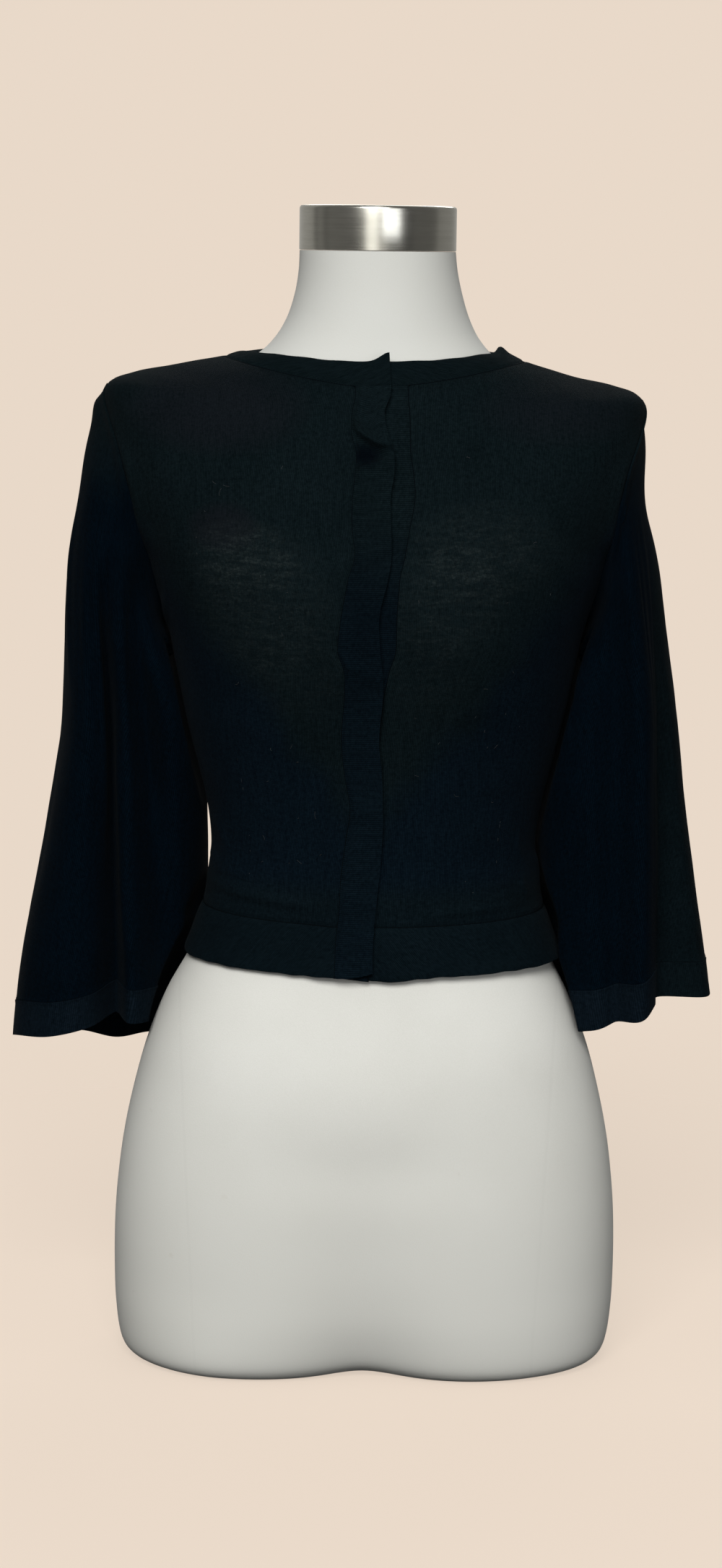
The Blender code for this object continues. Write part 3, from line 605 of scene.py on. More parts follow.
def armhole_fill(edge, side):
    """How the cloth bridges the crease at the armhole, for points of its edge."""
    y, z = edge[..., 1], edge[..., 2]
    share = smooth_step((z - 545) / 25) * smooth_step((648 - z) / 45) * smooth_step(np.abs(y) / 30)
    turned = np.stack((np.full_like(z, side * 0.45), 0.89 * np.sign(y), np.zeros_like(z)), -1)
    return ARMHOLE_FILL * share[..., None] * turned


def even_rows(first, last, count):
    return np.linspace(first, last, count + 1)


def joined_rows(*runs):
    """Rows from one place to another by several stops, given as from, to and count."""
    parts = [even_rows(*run) for run in runs]
    return np.concatenate([parts[0]] + [part[1:] for part in parts[1:]])


def body_rows():
    """Heights of the rows of points on the fronts and the back, close together at their seams."""
    near_band, near_collar = BAND_SEAM + 0.2, COLLAR_SEAM - 0.35
    return joined_rows((BAND_SEAM, near_band, 6), (near_band, ARMPIT, 70), (ARMPIT, SHOULDER_TIP, 60),
                       (SHOULDER_TIP, near_collar, 22), (near_collar, COLLAR_SEAM, 6))


Panel = namedtuple("Panel", "name node columns lapped armholes grain flat area")

PANELS = [
    Panel("left_front_cloth", "left_front", 100, False, {"right": 1}, 0, (0.21, 0.38), 0.067),
    Panel("back_cloth", "back", 170, False, {"left": 1, "right": -1}, 85, (0.41, 0.38), 0.135),
    Panel("right_front_cloth", "right_front", 100, True, {"left": -1}, 100, (0.20, 0.38), 0.066),
]


def add_body(materials, seams):
    """The two fronts and the back."""
    t = body_rows()
    cut_front, cut_back = armhole_angle(t, ARMHOLE_FRONT), armhole_angle(t, ARMHOLE_BACK)
    edges = {
        "left_front_cloth": (seam_angle(t, "under_seam"), QUARTER - cut_front),
        "back_cloth": (QUARTER + cut_back, 3 * QUARTER - cut_back),
        "right_front_cloth": (cut_front - QUARTER, seam_angle(t, "lap_seam")),
    }
    at_armhole = (t > ARMPIT) & (t < SHOULDER_TIP)
    for piece in PANELS:
        points = panel(t, *edges[piece.name], piece.columns, piece.lapped)
        rise = hang(points)
        away = from_edges(points)
        depth = {side: np.full_like(t, SEAM_DIP)[:, None] for side in away}
        filled = np.zeros_like(points)
        for side, facing in piece.armholes.items():
            depth[side] = np.where(at_armhole, ARMHOLE_DIP, 0.5 * SEAM_DIP)[:, None]
            edge = points[:, [0 if side == "left" else -1]]
            near = at_armhole[:, None] * bump(away[side] / FILL_WIDTH)
            filled += armhole_fill(edge, facing) * near[..., None]
        for side in away:
            rise = rise - depth[side] * bump(away[side] / SEAM_WIDTH)
        points, normals = raised(points + filled, rise)
        made = grid_object(piece.name, points, *grain(points, piece.grain), CLOTH)
        dress(made, [piece.node], materials["knit"])
        if piece.node == "back":
            for column in (0, -1):
                for rows in (t <= ARMPIT, t >= SHOULDER_TIP):
                    seams.append((points[rows, column], normals[rows, column], False))


# The bands

# Where the hidden fasteners pinch the upper band: the height of the fold, how far it falls from
# the seam to the free edge, and how strong it is
Pinch = namedtuple("Pinch", "z fall depth")

PINCHES = [
    Pinch(557, -15, 0.8), Pinch(482, 12, 0.4), Pinch(389, -12, 0.3),
    Pinch(345, 8, 0.3), Pinch(299, -8, 0.3),
]
PUCKER_SHARE = 0.6          # how much of the solid band's puckers the cloth shows
TWIST_CREST = 626.0         # the lowest of the fold where the band is turned on itself
TWIST_FOOT = 611.0          # where its lower part begins, at the seam
TWIST_DEPTH = 4.4           # of the hollow between the two
CREST_RISE = 3.0
FOOT_RISE = 1.6
EDGE_RISE = 0.9             # how far the band's free edge stands out


def one_sided(value, above, below):
    """A hump that falls off over one distance above 0 and over another below it."""
    return np.exp(-(value / np.where(value > 0, above, below)) ** 2)


def twist(z, share):
    """How the upper band stands out at its pinches, the uppermost of which turns it on itself."""
    crest = TWIST_CREST + 14 * (1 - share) ** 2.2
    foot = TWIST_FOOT + 6.5 * share ** 0.7
    # the hollow between the crest and the foot, which closes towards the free edge
    within = np.clip((z - foot) / (crest - foot), 0, 1)
    open_here = smooth_step(share / 0.14) * (1 - 0.85 * smooth_step((share - 0.5) / 0.38))
    total = -TWIST_DEPTH * np.sin(math.pi * within ** 1.2) ** 1.1 * open_here
    total += CREST_RISE * one_sided(z - crest, 7.0, 1.7) + FOOT_RISE * one_sided(z - foot, 1.8, 8.0)
    # the slack cloth above the crest
    total -= 1.7 * bump((share - 0.46) / 0.32) * bump((z - 643) / 7)
    total += 1.2 * bump((share - 0.6) / 0.4) * bump((z - 655) / 5)
    # the free edge stands out above and below
    at_edge = smooth_step((share - 0.72) / 0.28)
    total += at_edge * (1.3 * bump((z - 610) / 16) + 1.0 * bump((z - 644) / 10))
    for pinch in PINCHES:
        line = z - pinch.z + pinch.fall * (share - 0.5)
        total += pinch.depth * bump(line / 4.6) - 1.1 * pinch.depth * bump((line + 9) / 5.6)
    return total


def add_front_bands(materials, seams):
    """The band that laps over and the one under it, both from the hem to the neckband."""
    t = np.concatenate((even_rows(HEM, BAND_SEAM, 32)[:-1], even_rows(BAND_SEAM, COLLAR_SEAM, 430)))
    columns = 36
    share = np.broadcast_to(np.linspace(0, 1, columns + 1), (len(t), columns + 1))
    hem_z = BAND_PLACES[0].z
    upper = panel(t, seam_angle(t, "lap_seam"), seam_angle(t, "free_edge"), columns, True)
    z = upper[..., 2]
    puffed = 0.9 * bump((share - 0.55) / 0.42)
    rise = PUCKER_SHARE * band_place(z).pucker + twist(z, share) + puffed
    rise = rise * smooth_step(share * 7) + hang(upper) + EDGE_RISE * bump((1 - share) * 5)
    rise = rise + edge_dips(upper, ["left"])
    upper, normals = raised(upper, rise)
    upper[..., 2] += 4.2 * share ** 2 * bump((z - hem_z) / 9)
    made = grid_object("overlap_band_cloth", upper, *grain(upper, 0), TURNED)
    dress(made, ["overlap_band"], materials["rib_across"])
    seams.append((upper[:, 0], normals[:, 0], False))

    lower = panel(t, seam_angle(t, "under_edge"), seam_angle(t, "under_seam"), columns)
    z = lower[..., 2]
    bulges = 1.7 * bump((z - 641) / 13) + 1.3 * bump((z - 603) / 20) + 0.8 * bump((z - 560) / 16)
    rise = hang(lower) + edge_dips(lower, ["right"]) + bump((share - 0.78) / 0.16) * bulges
    rise = rise - 0.6 * bump((share - 0.4) / 0.3)
    lower, normals = raised(lower, rise)
    lower[..., 2] -= 2.0 * share * bump((z - hem_z) / 12)
    made = grid_object("underlap_band_cloth", lower, *grain(lower, columns), TURNED)
    dress(made, ["underlap_band"], materials["rib_across"])
    seams.append((lower[:, -1], normals[:, -1], False))


def ring_columns(t, counts):
    """The angles of every column round the body, from the left front to the right front."""
    front, back = counts
    stops = (seam_angle(t, "under_seam"), np.full_like(t, QUARTER), np.full_like(t, 3 * QUARTER),
             seam_angle(t, "lap_seam") + 4 * QUARTER)
    parts = []
    for start, end, count in zip(stops, stops[1:], (front, back, front)):
        share = np.linspace(0, 1, count + 1)[:-1]
        parts.append(start[:, None] + (end - start)[:, None] * share)
    return np.concatenate(parts + [stops[-1][:, None]], 1)


def add_bottom_band(materials, seams):
    """The band round the lower edge, which hangs lowest under the overlap."""
    t = even_rows(HEM, BAND_SEAM, 30)
    front, back = 110, 190
    angle = ring_columns(t, (front, back))
    heights = np.broadcast_to(t[:, None], angle.shape)
    points = cloth_points(heights, angle, angle > 3 * QUARTER)
    x = points[..., 0]
    low = heights - HEM
    rise = hang(points) * smooth_step(0.3 + low) + edge_dips(points, ["left", "right", "top"])
    rise = rise + 0.5 * bump((low - 0.72) / 0.22) - 0.6 * bump(low / 0.08)
    points, normals = raised(points, rise)
    around = angle * 100
    wave = 0.3 * np.sin(around / 4.3) * np.sin(around / 11.9 + 1) + 0.14 * np.sin(around / 2.3 + 0.6)
    near_overlap = bump((x - 14) / 16) * (points[..., 1] < 0) * (angle < QUARTER)
    points[..., 2] += wave * bump(low / 0.25) - 2.4 * near_overlap * bump(low / 0.5)
    made = grid_object("bottom_band_cloth", points, *grain(points, front + back // 2), TURNED)
    dress(made, ["bottom_band"], materials["rib"])
    seams.append((points[-1], normals[-1], False))


def add_neckband(materials, seams):
    """The neckband, whose right end lies over its left end."""
    t = even_rows(COLLAR_SEAM, NECKLINE, 26)
    front, back, under_columns, over_columns = 90, 110, 12, 16
    under_edge, under_seam, lap_seam, free_edge = (
        seam_angle(np.full_like(t, COLLAR_SEAM), name)[:, None]
        for name in ("under_edge", "under_seam", "lap_seam", "free_edge"))
    under = under_edge + (under_seam - under_edge) * np.linspace(0, 1, under_columns + 1)[:-1]
    over = lap_seam + (free_edge - lap_seam) * np.linspace(0, 1, over_columns + 1)[1:]
    angle = np.concatenate((under, ring_columns(t, (front, back)), over + 4 * QUARTER), 1)
    heights = np.broadcast_to(t[:, None], angle.shape)
    points = cloth_points(heights, angle, angle > 3 * QUARTER)
    x, y = points[..., 0], points[..., 1]
    part = heights - COLLAR_SEAM
    rise = edge_dips(points, ["bottom"]) + 0.9 * bump((part - 0.55) / 0.35)
    rise = rise - 0.7 * bump((part - 1) / 0.09) + hang(points)
    points, normals = raised(points, rise)
    shoulder_peak = bump((x - 84) / 4.5) * bump((y + 12) / 14)
    corner = smooth_step((angle - 4 * QUARTER - lap_seam) / (free_edge - lap_seam))
    corner = corner ** 3 * (angle > 3 * QUARTER)
    sunk = 4.6 * bump((angle - math.radians(252)) / 0.46)
    sunk = sunk + 2.6 * bump((angle - math.radians(109)) / 0.26)
    around = angle * 70
    wave = 0.35 * np.sin(around / 5.1) * np.sin(around / 13.0 + 2)
    points[..., 2] += part ** 2 * (wave + 5.0 * shoulder_peak + 6.2 * corner - sunk)
    middle = under_columns + front + back // 2
    made = grid_object("neckband_cloth", points, *grain(points, middle), TURNED)
    dress(made, ["neckband"], materials["rib"])
    seams.append((points[0], normals[0], False))


# The sleeves

def armhole_loop(side, steps):
    """The armhole's edge from the shoulder by the front: points, normals, outward directions."""
    heights = even_rows(ARMPIT, SHOULDER_TIP, 10 * steps)
    front = QUARTER - armhole_angle(heights, ARMHOLE_FRONT)
    back = QUARTER + armhole_angle(heights, ARMHOLE_BACK)
    t = np.concatenate((heights[:0:-1], heights[:-1]))
    angle = side * np.concatenate((front[:0:-1], back[:-1]))
    points, normals = cloth_points(t, angle), cloth_normals(t, angle)
    around = np.roll(points, -steps, 0) - np.roll(points, steps, 0)
    return points, normals, unit(np.cross(around, normals)) * -side


def body_reach(angle, behind, z):
    """How far the form or the cardigan's body reaches at heights in some directions."""
    reach = np.zeros_like(z)
    for rings in (FORM_RINGS, CLOTH_RINGS):
        sides = [ring.side_z for ring in rings]
        t = np.interp(z, sides, np.arange(len(sides)))
        near = np.linalg.norm(ring_points(read_table(rings, t), angle)[..., :2], axis=-1)
        counts = (z >= sides[0] - HEM_REACH) & (z <= sides[SHOULDER_TIP])
        if rings is CLOTH_RINGS:
            cut = np.where(behind, ARMHOLE_BACK, ARMHOLE_FRONT)
            counts &= np.abs(np.abs(angle) - QUARTER) >= armhole_angle(t, cut)
        reach = np.maximum(reach, np.where(counts, near, 0))
    return reach


def hermite(start, end, leave, arrive, part):
    square, cube = part * part, part ** 3
    return (start * (2 * cube - 3 * square + 1) + leave * (cube - 2 * square + part)
            + end * (3 * square - 2 * cube) + arrive * (cube - square))


def height_share(z):
    """How high a place of the armhole is, from 0 at the armpit to 1 at the shoulder's tip."""
    armpit_z, tip_z = CLOTH_RINGS[ARMPIT].side_z, CLOTH_RINGS[SHOULDER_TIP].side_z
    return (z - armpit_z) / (tip_z - armpit_z)


def sleeve_points(sleeve, loop, parts):
    """Rows of points of a sleeve. A part runs from 0 at the armhole by 1 at its middle to 2."""
    start, normal, out = loop
    count = len(start)
    place = np.arange(count) * len(sleeve.outline) / count
    plan = read_table(sleeve.outline, place, closed=True)
    level = np.full(count, SLEEVE_MIDDLE)
    middle = np.stack((sleeve.side * plan.mid_out, plan.mid_back, level), -1)
    hem = np.stack((sleeve.side * plan.hem_out, plan.hem_back, plan.hem_z), -1)
    height = np.clip(height_share(start[:, 2]), 0, 1)
    outwards = UNDERARM_OUT + (sleeve.head_out - UNDERARM_OUT) * smooth_step(height)
    leaving = out * SEAM_RUN + normal * outwards[:, None]
    leaving[:, 2] -= HEAD_DROP * height
    passing = (hem - middle) * FLARE
    passing[:, 2] = (hem - start)[:, 2] / 2
    widening = (hem - middle) * sleeve.bell
    widening[:, 2] = (hem - middle)[:, 2]
    part = np.asarray(parts)[:, None, None]
    points = np.where(part < 1, hermite(start, middle, leaving, passing, np.minimum(part, 1)),
                      hermite(middle, hem, passing, widening, np.maximum(part - 1, 0)))
    points = cleared(points, part[..., 0])
    return points, np.broadcast_to(place, points.shape[:2])


def cleared(points, part):
    """A sleeve's points, moved outwards where they would touch the body or the form."""
    angle = np.arctan2(points[..., 0], -points[..., 1])
    behind = points[..., 1] >= 0
    levels = [points[..., 2] + CLEAR_SPAN * step for step in (-1, -0.5, 0, 0.5, 1)]
    near = np.max([body_reach(angle, behind, level) for level in levels], 0) + SLEEVE_CLEARANCE
    far = np.linalg.norm(points[..., :2], axis=-1)
    push = np.where((part > 0.04) & (far < near), near / far, 1)
    moved = points.copy()
    moved[..., :2] *= push[..., None]
    return moved


def softened(points, passes, share):
    """A closed grid whose points are drawn towards their neighbours round it."""
    for step in range(passes):
        between = (np.roll(points, 1, 1) + np.roll(points, -1, 1)) / 2
        points = points + (between - points) * 0.5 * share
    return points


def settled(z, side):
    """How a sleeve's outer edge falls inwards below the shoulder, and stands out at its tip."""
    if side < 0:
        return 4.2 * bump((z - 650) / 12) - 3.4 * bump((z - 583) / 36)
    return -6.8 * bump((z - 590) / 29)


def sleeve_shape(sleeve, loop, parts):
    """A whole sleeve with its cuff: points and normals."""
    start, start_normal, _ = loop
    points, place = sleeve_points(sleeve, loop, parts)
    part = np.asarray(parts)[:, None]
    column = np.arange(points.shape[1])
    from_top = np.minimum(column, len(column) - column)
    # the sleeve's head is rounded most, and the folds stay crisp down to the hem
    hold = 0.10 - 0.07 * smooth_step(part - 1)
    soft = np.maximum(bump(from_top / 9)[None, :], hold) * smooth_step(part / 0.05)
    points = cleared(softened(points, SOFT_PASSES, soft[..., None]), part)
    away = lengths_along(points, 0)
    inwards = settled(points[..., 2], sleeve.side) * bump(from_top / 22) * smooth_step(away / 14)
    points[..., 0] += sleeve.side * inwards
    z = points[..., 2]
    fill = armhole_fill(start, sleeve.side) * bump(away / FILL_WIDTH)[..., None]
    held = start_normal * (hang(start) - ARMHOLE_DIP)[:, None]
    points = points + fill + held * bump(away / SEAM_WIDTH)[..., None]
    normals = grid_normals(points, closed=True) * -sleeve.side
    near_tip = smooth_step((height_share(start[:, 2]) - 0.55) / 0.35)
    puff = HEAD_PUFF * (away / PUFF_REACH) * np.exp(1 - away / PUFF_REACH) * near_tip
    around = place * PLACE_WIDTH
    rise = crease_heights(place, z, sleeve.creases, PLACE_WIDTH) + 0.8 * ripple(around, z, sleeve.seed)
    rise = rise * smooth_step(part / 0.25) + puff
    points = points + normals * rise[..., None]
    points[..., 2] += 0.5 * np.sin(around / 9 + sleeve.seed) * smooth_step((part - 1.8) / 0.2)
    return points, normals


def add_sleeves(materials, seams):
    """The sleeves and their cuffs, each cut from one run of cloth at the cuff's seam."""
    for sleeve in SLEEVES:
        seam = 2 - CUFF_HEIGHT / (SLEEVE_MIDDLE - sleeve.outline[0].hem_z)
        above, below = seam - 0.02, seam + 0.02
        upper = joined_rows((0, 0.06, 9), (0.06, 0.5, 50), (0.5, above, 92), (above, seam, 5))
        lower = joined_rows((seam, below, 5), (below, 2, 20))
        loop = armhole_loop(sleeve.side, ARMHOLE_STEPS)
        points, normals = sleeve_shape(sleeve, loop, np.concatenate((upper, lower[1:])))
        cut = len(upper) - 1
        walked = lengths_along(points, 0)
        dip = CUFF_DIP * bump(np.abs(walked - walked[cut]) / SEAM_WIDTH)
        points = points - normals * dip[..., None]
        seams.append((points[cut], normals[cut], True))
        runs = (
            (sleeve.name, sleeve.nodes[0], slice(0, cut + 1), "knit", CLOTH, sleeve.flat, sleeve.area),
            (sleeve.cuff, sleeve.nodes[1], slice(cut, None), "rib", TURNED, sleeve.cuff_flat, None),
        )
        for name, node, rows, slot, thickness, flat, area in runs:
            piece = points[rows]
            across, along = lengths_along(closed_up(piece), 1), -lengths_along(piece, 0)
            if sleeve.side > 0:
                piece, across, along = piece[::-1], across[::-1], along[::-1]
            made = grid_object(name, piece, across, along, thickness, closed=True)
            dress(made, [node], materials["sleeve " + slot])


# Seams and lint

def tube(path, radii, closed, sides=6):
    """Points and faces of a tube along a path."""
    ahead = unit(np.roll(path, -1, 0) - np.roll(path, 1, 0) if closed else np.gradient(path, axis=0))
    # a direction that no path follows
    aside = np.array((0.13, 0.27, 0.95))
    first = unit(np.cross(ahead, aside))
    second = np.cross(ahead, first)
    turn = np.arange(sides) * 4 * QUARTER / sides
    ring = first[:, None] * np.cos(turn)[None, :, None] + second[:, None] * np.sin(turn)[None, :, None]
    points = path[:, None] + ring * radii[:, None, None]
    number = np.arange(len(path) * sides).reshape(len(path), sides)
    if closed:
        number = np.concatenate((number, number[:1]), 0)
    faces = face_corners(closed_up(number)).reshape(-1, 4).tolist()
    if not closed:
        faces += [number[0, ::-1].tolist(), number[-1].tolist()]
    return points.reshape(-1, 3), faces


def joined_tubes(name, runs, material):
    """One object made of many tubes, given as paths, radii and whether they are closed."""
    points, faces = [], []
    total = 0
    for run in runs:
        more, sides = tube(*run)
        points.append(more)
        faces += [[index + total for index in face] for face in sides]
        total += len(more)
    dress(mesh_object(name, np.concatenate(points), faces), [], material)


def add_linking(materials, seams):
    """The rows of linking stitches that join the pieces, sunk into the dips along their edges."""
    runs = []
    for edge, normals, closed in seams:
        path = edge - normals * THREAD_SINK
        if closed:
            path = np.concatenate((path, path[:1]))
        walked = lengths_along(path, 0)
        count = int(walked[-1] / THREAD_STEP)
        places = np.linspace(0, walked[-1], count + 1)
        if closed:
            places = places[:-1]
        even = np.stack([np.interp(places, walked, path[:, axis]) for axis in range(3)], -1)
        radii = THREAD_RADIUS * (1 + 0.24 * np.cos(places * 4 * QUARTER / STITCH))
        runs.append((even, radii, closed))
    joined_tubes("linking_stitches", runs, materials["linking"])


# Lint on the front of the cardigan: where, in millimetres, and how long
Lint = namedtuple("Lint", "x z length")

LINT = [
    Lint(-36, 384, 5.0), Lint(-118, 404, 5.5), Lint(-110, 418, 3.5), Lint(-46, 352, 4.0),
    Lint(97, 366, 4.5), Lint(90, 375, 3.0), Lint(12, 338, 4.0), Lint(14, 342, 3.0),
    Lint(-127, 398, 4.0), Lint(56, 398, 3.5), Lint(30, 412, 3.0), Lint(-70, 366, 3.5),
    Lint(-100, 596, 5.0), Lint(-96, 600, 4.0), Lint(-104, 602, 3.0), Lint(104, 566, 2.5),
    Lint(118, 532, 2.5), Lint(-88, 470, 3.0), Lint(74, 470, 3.0), Lint(-60, 612, 2.5),
    Lint(60, 620, 2.5), Lint(-20, 414, 3.0), Lint(82, 430, 3.5), Lint(-52, 430, 3.0),
]


def add_lint(materials):
    """A few pale fibres and specks that cling to the fronts."""
    spread = np.random.default_rng(7)
    count, row_height, steps = 44, 22, 7
    scattered = (spread.uniform(-118, 116, count), spread.triangular(300, 350, 640, count),
                 spread.uniform(0.8, 2.0, count))
    cloth_z = [ring.front_z for ring in CLOTH_RINGS]
    runs = []
    for lint in LINT + [Lint(*row) for row in np.stack(scattered, -1)]:
        if -24 < lint.x < 28:
            continue
        bend, tilt = spread.uniform(-1.2, 1.2), spread.uniform(0, 2 * math.pi)
        share = np.linspace(-0.5, 0.5, steps)
        curve = bend * (share ** 2 - 0.12) * lint.length
        x = lint.x + share * lint.length * math.cos(tilt) - curve * math.sin(tilt)
        z = lint.z + share * lint.length * math.sin(tilt) + curve * math.cos(tilt)
        t = np.interp(z, cloth_z, np.arange(len(cloth_z)))
        for step in range(3):
            angle = angle_at(t, x)
            t = t - (cloth_points(t, angle, lint.x < 0)[..., 2] - z) / row_height
        angle = angle_at(t, x)
        surface = cloth_points(t, angle, lint.x < 0)
        path = surface + cloth_normals(t, angle, lint.x < 0) * (hang(surface) + 0.15)[:, None]
        runs.append((path, np.full(steps, 0.10 + 0.02 * (lint.length < 2.6)), False))
    joined_tubes("lint", runs, materials["lint"])


# What holds the cardigan up

def add_form(materials):
    """The form's jersey cover, drawn smooth over the torso."""
    t = joined_rows((0, 3, 16), (3, len(FORM_RINGS) - 1, 150))
    columns = 168
    angle = np.broadcast_to(np.arange(columns) * 4 * QUARTER / columns, (len(t), columns))
    points = ring_points(read_table(FORM_RINGS, np.broadcast_to(t[:, None], angle.shape)), angle)
    x, y, z = points[..., 0], points[..., 1], points[..., 2]
    belly = 2.2 * bump(x / 72) * bump((z - 198) / 34) - 1.6 * bump(x / 62) * bump((z - 146) / 20)
    lower = 4.0 * bump((x + 112) / 34) * bump(z / 34) - 5.0 * bump((x - 6) / 52) * bump(z / 40)
    y -= (belly + lower) * (y < 0)
    number = np.arange(points[..., 0].size).reshape(angle.shape)
    faces = face_corners(closed_up(number)).reshape(-1, 4).tolist()
    faces += [number[0, ::-1].tolist(), number[-1].tolist()]
    made = mesh_object("dress_form_cover", points, faces)
    made.data.set_sharp_from_angle(angle=math.radians(60))
    dress(made, ["dress_form"], materials["jersey"])


def edit_parts(made, kind, wanted):
    """Start to edit a mesh, with some of its edges or faces selected."""
    bpy.ops.object.mode_set(mode="EDIT")
    bpy.ops.mesh.select_mode(type=kind)
    bpy.ops.mesh.select_all(action="DESELECT")
    shape = bmesh.from_edit_mesh(made.data)
    for item in shape.edges if kind == "EDGE" else shape.faces:
        item.select_set(wanted(item))
    bmesh.update_edit_mesh(made.data)


def add_cap(materials):
    """The brushed steel neck cap, with a rounded upper edge and a narrow bevel round its lower edge."""
    bottom = FORM_RINGS[-1].side_z + CAP_GAP
    deselect()
    bpy.ops.mesh.primitive_cylinder_add(
        vertices=128, radius=CAP_RADIUS * MM, depth=CAP_HEIGHT * MM,
        location=(0, 0, (bottom + CAP_HEIGHT / 2) * MM))
    made = bpy.context.active_object
    made.name = made.data.name = "neck_cap_steel"
    bpy.ops.object.transform_apply(location=True, rotation=True, scale=True)
    for height, width, segments in ((bottom + CAP_HEIGHT, CAP_EDGE, 5), (bottom, 0.6, 2)):
        edit_parts(made, "EDGE", lambda edge: all(
            abs(vert.co.z - height * MM) < 0.01 * MM for vert in edge.verts))
        bpy.ops.mesh.bevel(offset=width * MM, segments=segments, profile=0.5)
        bpy.ops.object.mode_set(mode="OBJECT")
    edit_parts(made, "FACE", lambda face: len(face.verts) > 8 and face.normal.z > 0.9)
    for ring in range(4):
        bpy.ops.mesh.inset(thickness=9 * MM)
    bpy.ops.object.mode_set(mode="OBJECT")
    made.data.shade_smooth()
    made.data.set_sharp_from_angle(angle=math.radians(40))
    dress(made, ["neck_cap"], materials["steel"])


# Materials

def operator(operation, swapped=False):
    """A method that does shader maths in place of one of Python's operators."""
    def apply(wire, other):
        values = (other, wire) if swapped else (wire, other)
        return wire.shader.maths(operation, *values)
    return apply


class Wire:
    """A shader value that Python's own operators work on."""

    def __init__(self, shader, socket):
        self.shader = shader
        self.socket = socket

    __add__, __radd__ = operator("ADD"), operator("ADD", swapped=True)
    __sub__, __rsub__ = operator("SUBTRACT"), operator("SUBTRACT", swapped=True)
    __mul__, __rmul__ = operator("MULTIPLY"), operator("MULTIPLY", swapped=True)
    __truediv__ = operator("DIVIDE")
    __pow__ = operator("POWER")


def fill_ramp(elements, stops):
    """Set a ramp's colours along its line, given as places and colours."""
    while len(elements) < len(stops):
        elements.new(0.5)
    for element, (position, colour) in zip(elements, stops):
        element.position = position
        element.color = (*colour, 1)


class Shader:
    """A node tree under construction."""

    def __init__(self, tree):
        self.tree = tree

    def node(self, kind, settings, sockets, output=0):
        """Add a node, set it up, and return one of its outputs."""
        made = self.tree.nodes.new(kind)
        for name, value in settings.items():
            if name == "stops":
                fill_ramp(made.color_ramp.elements, value)
            else:
                setattr(made, name, value)
        for name, value in sockets.items():
            self.connect(value, made.inputs[name])
        return Wire(self, made.outputs[output])

    def connect(self, value, socket):
        if isinstance(value, Wire):
            self.tree.links.new(value.socket, socket)
        elif isinstance(value, tuple) and len(value) == 3 and socket.type == "RGBA":
            socket.default_value = (*value, 1)
        else:
            socket.default_value = value

    def maths(self, operation, *values):
        return self.node("ShaderNodeMath", {"operation": operation}, dict(enumerate(values)))

    def noise(self, vector, scale, detail=2.0, roughness=0.5, distortion=0.0):
        """Noise whose scale is one number, or one for each direction."""
        if isinstance(scale, tuple):
            vector = self.node("ShaderNodeMapping", {}, {"Vector": vector, "Scale": scale})
            scale = 1.0
        return self.node("ShaderNodeTexNoise", {}, {
            "Vector": vector, "Scale": scale, "Detail": detail,
            "Roughness": roughness, "Distortion": distortion})

    def split(self, vector):
        first = self.node("ShaderNodeSeparateXYZ", {}, {0: vector})
        return [Wire(self, output) for output in first.socket.node.outputs]

    def mixed(self, factor, first, second):
        return self.node("ShaderNodeMix", {"data_type": "RGBA"},
                         {0: factor, 6: first, 7: second}, output=2)

    def between(self, value, low, high, interpolation="SMOOTHSTEP"):
        """0 below low, 1 above high and, unless told otherwise, smooth in between."""
        return self.node("ShaderNodeMapRange", {"interpolation_type": interpolation},
                         {"Value": value, "From Min": low, "From Max": high})

    def ramp(self, share, stops):
        return self.node("ShaderNodeValToRGB", {"stops": stops}, {0: share})

    def where(self, name):
        return self.node("ShaderNodeTexCoord", {}, {}, output=name)


class Finish(Shader):
    """A material under construction."""

    def __init__(self, name):
        self.material = bpy.data.materials.new(name)
        self.material.use_nodes = True
        super().__init__(self.material.node_tree)
        self.surface = self.tree.nodes["Principled BSDF"]

    def cut(self):
        """Places on the flat cloth, in metres."""
        return self.node("ShaderNodeUVMap", {"uv_map": "cut"}, {})

    def bump(self, height, distance, strength):
        return self.node("ShaderNodeBump", {}, {
            "Height": height, "Distance": distance, "Strength": strength})

    def set(self, **values):
        for name, value in values.items():
            self.connect(value, self.surface.inputs[name.replace("_", " ")])


WALE = 1.15 * MM            # width of one knitted wale
COURSE = 0.85 * MM          # height of one course
RIB = 1.35 * MM

# The black's tones, each a dark and a light one
TEAL = (0.0006, 0.0020, 0.0026), (0.0044, 0.0089, 0.0108)
NAVY = (0.0003, 0.0014, 0.0030), (0.0029, 0.0074, 0.0122)
# the sleeves' copies of the teal and the navy, darkened as painted shade
SHADED_SLEEVE_TEAL = (0.00054, 0.0018, 0.00234), (0.00396, 0.00801, 0.00972)
SHADED_SLEEVE_NAVY = (0.0, 0.0006, 0.0013), (0.0007, 0.0037, 0.0074)
CUFF_NAVY = (0.0005, 0.0018, 0.0032), (0.0040, 0.0080, 0.0128)
YARN_BLACKS = (0.0003, 0.0009, 0.0014), (0.0022, 0.0040, 0.0052)
LINT_GREYS = (0.012, 0.015, 0.017), (0.050, 0.054, 0.056)
# the colour of the painted shade in the front band's fold
PAINTED_SHADE = (0.0001, 0.0007, 0.0019)
FIBRE = (0.040, 0.044, 0.044)
PLUM = (0.0062, 0.0062, 0.0090)
STREAKS = (380, 45, 1), (45, 380, 1)    # how often wales differ, in cloth knitted up or across
KNIT_SHEER = (0.031, 0.041, 0.041)

# Soft ovals on the front, some of another tone and some of painted shade: middle, half sizes in
# millimetres, and strength
Patch = namedtuple("Patch", "x z width height strength")
